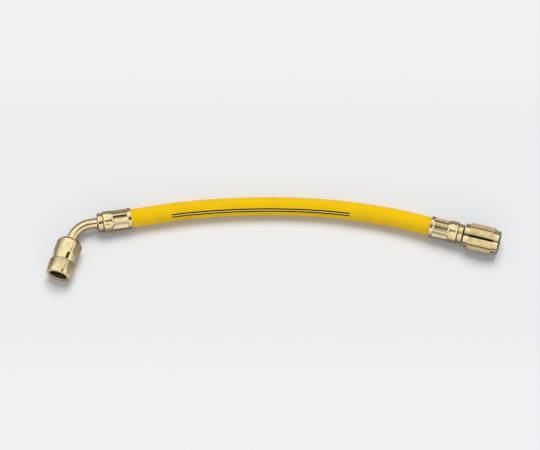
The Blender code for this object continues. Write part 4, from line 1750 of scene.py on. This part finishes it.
def make_world():
    """Pale surroundings that the metal sees as a white tent, dark low down behind."""
    world = bpy.data.worlds.new("Studio")
    bpy.context.scene.world = world
    world.use_nodes = True
    tree = world.node_tree
    tree.nodes.clear()
    way = parts(tree, tree.nodes.new("ShaderNodeTexCoord").outputs["Generated"])
    height = way["Z"]
    sideways = calculate(tree, "ABSOLUTE", way["X"])
    beside = calculate(
        tree, "MULTIPLY",
        stepped(tree, sideways, *SIDE_STEP), stepped(tree, height, *SIDE_FALL),
    )
    behind = calculate(
        tree, "MULTIPLY",
        stepped(tree, way["Y"], *BACK_STEP), stepped(tree, height, *BACK_FALL),
    )
    tent = mixed(tree, stepped(tree, height, *TENT_RISE), TENT_LOW, TENT_HIGH)
    tent = mixed(tree, beside, tent, TENT_SIDE)
    tent = mixed(tree, behind, tent, TENT_BACK)
    fill = mixed(tree, stepped(tree, way["Y"], *FILL_STEP), FILL_BACK, FILL_FRONT)
    rays = tree.nodes.new("ShaderNodeLightPath").outputs
    lit = mixed_shader(
        tree, rays["Is Glossy Ray"], background(tree, fill), background(tree, tent),
    )
    seen = mixed_shader(tree, rays["Is Camera Ray"], lit, background(tree, BACKDROP))
    feed(tree, tree.nodes.new("ShaderNodeOutputWorld"), {"Surface": seen})


class CONNECTIONHOSE_OT_camera(bpy.types.Operator):
    """Set up the camera"""

    bl_idname = "connection_hose.camera"
    bl_label = "Camera"

    def execute(self, context):
        make_camera()
        return {"FINISHED"}


class CONNECTIONHOSE_OT_hose(bpy.types.Operator):
    """Make the rubber hose"""

    bl_idname = "connection_hose.hose"
    bl_label = "Hose"

    def execute(self, context):
        make_hose()
        return {"FINISHED"}


class CONNECTIONHOSE_OT_sleeves(bpy.types.Operator):
    """Make both crimped sleeves"""

    bl_idname = "connection_hose.sleeves"
    bl_label = "Crimped Sleeves"

    def execute(self, context):
        make_sleeve("elbow_sleeve", elbow_frame(), ELBOW_JAW_ROLL, "elbow_ferrule")
        make_sleeve("straight_sleeve", straight_frame(), STRAIGHT_JAW_ROLL, "straight_ferrule")
        return {"FINISHED"}


class CONNECTIONHOSE_OT_stems(bpy.types.Operator):
    """Make both barbed stems and the seat head, and finish the pin in it"""

    bl_idname = "connection_hose.stems"
    bl_label = "Stems and Seat"

    def execute(self, context):
        make_elbow_stem()
        make_straight_stem()
        make_seat()
        dress_depressor()
        return {"FINISHED"}


class CONNECTIONHOSE_OT_gaskets(bpy.types.Operator):
    """Make the gaskets of both seat heads"""

    bl_idname = "connection_hose.gaskets"
    bl_label = "Gaskets"

    def execute(self, context):
        hexagon = setting("hexagon")
        knurled = setting("knurled")
        make_gasket("elbow_gasket_ring", hexagon.rear_wall, "elbow_nut_spin", "elbow_gasket")
        make_gasket(
            "straight_gasket_ring", knurled.rear_wall, "straight_nut_spin", "straight_gasket",
        )
        return {"FINISHED"}


class CONNECTIONHOSE_OT_tube(bpy.types.Operator):
    """Make the bent tube of the elbow end"""

    bl_idname = "connection_hose.tube"
    bl_label = "Bent Tube"

    def execute(self, context):
        make_tube()
        return {"FINISHED"}


class CONNECTIONHOSE_OT_hexagon_nut(bpy.types.Operator):
    """Make the hexagon nut and its thread"""

    bl_idname = "connection_hose.hexagon_nut"
    bl_label = "Hexagon Nut"

    def execute(self, context):
        make_hexagon_nut()
        length = hexagon_marks()[-1]
        rear_wall = setting("hexagon").rear_wall
        make_thread("hexagon_nut_thread", rear_wall, length, "elbow_nut_spin", "hexagon_nut")
        return {"FINISHED"}


class CONNECTIONHOSE_OT_knurled_nut(bpy.types.Operator):
    """Make the knurled nut, its knurl and its thread"""

    bl_idname = "connection_hose.knurled_nut"
    bl_label = "Knurled Nut"

    def execute(self, context):
        make_knurled_nut()
        make_knurl()
        length = knurled_marks()[-1]
        rear_wall = setting("knurled").rear_wall
        make_thread("knurled_nut_thread", rear_wall, length, "straight_nut_spin", "knurled_nut")
        return {"FINISHED"}


class CONNECTIONHOSE_OT_stage(bpy.types.Operator):
    """Make the floor, the lamp and the surroundings"""

    bl_idname = "connection_hose.stage"
    bl_label = "Stage"

    def execute(self, context):
        make_floor()
        make_lamp()
        make_patch()
        make_world()
        context.scene.view_settings.view_transform = "Standard"
        return {"FINISHED"}


STEPS = (
    CONNECTIONHOSE_OT_camera,
    CONNECTIONHOSE_OT_hose,
    CONNECTIONHOSE_OT_sleeves,
    CONNECTIONHOSE_OT_stems,
    CONNECTIONHOSE_OT_gaskets,
    CONNECTIONHOSE_OT_tube,
    CONNECTIONHOSE_OT_hexagon_nut,
    CONNECTIONHOSE_OT_knurled_nut,
    CONNECTIONHOSE_OT_stage,
)


class CONNECTIONHOSE_PT_panel(bpy.types.Panel):
    """Sizes, colours and steps of the connection hose"""

    bl_label = "Connection Hose"
    bl_idname = "CONNECTIONHOSE_PT_panel"
    bl_space_type = "VIEW_3D"
    bl_region_type = "UI"
    bl_category = "Connection Hose"

    def draw(self, context):
        layout = self.layout
        for step in STEPS:
            layout.operator(step.bl_idname)
        for name, group in GROUPS.items():
            box = layout.box()
            box.label(text=name.title())
            values = getattr(context.scene, "connection_hose_" + name)
            for key in group.__annotations__:
                box.prop(values, key)


def register():
    """Register the settings, the operators and the panel."""
    for name, group in GROUPS.items():
        bpy.utils.register_class(group)
        setattr(bpy.types.Scene, "connection_hose_" + name, PointerProperty(type=group))
    for step in STEPS:
        bpy.utils.register_class(step)
    bpy.utils.register_class(CONNECTIONHOSE_PT_panel)


def unregister():
    """Take back what register added."""
    bpy.utils.unregister_class(CONNECTIONHOSE_PT_panel)
    for step in reversed(STEPS):
        bpy.utils.unregister_class(step)
    for name, group in reversed(GROUPS.items()):
        delattr(bpy.types.Scene, "connection_hose_" + name)
        bpy.utils.unregister_class(group)


def main():
    """Make every piece and the stage."""
    register()
    bpy.ops.connection_hose.camera()
    bpy.ops.connection_hose.hose()
    bpy.ops.connection_hose.sleeves()
    bpy.ops.connection_hose.stems()
    bpy.ops.connection_hose.gaskets()
    bpy.ops.connection_hose.tube()
    bpy.ops.connection_hose.hexagon_nut()
    bpy.ops.connection_hose.knurled_nut()
    bpy.ops.connection_hose.stage()


if __name__ == "__main__":
    main()
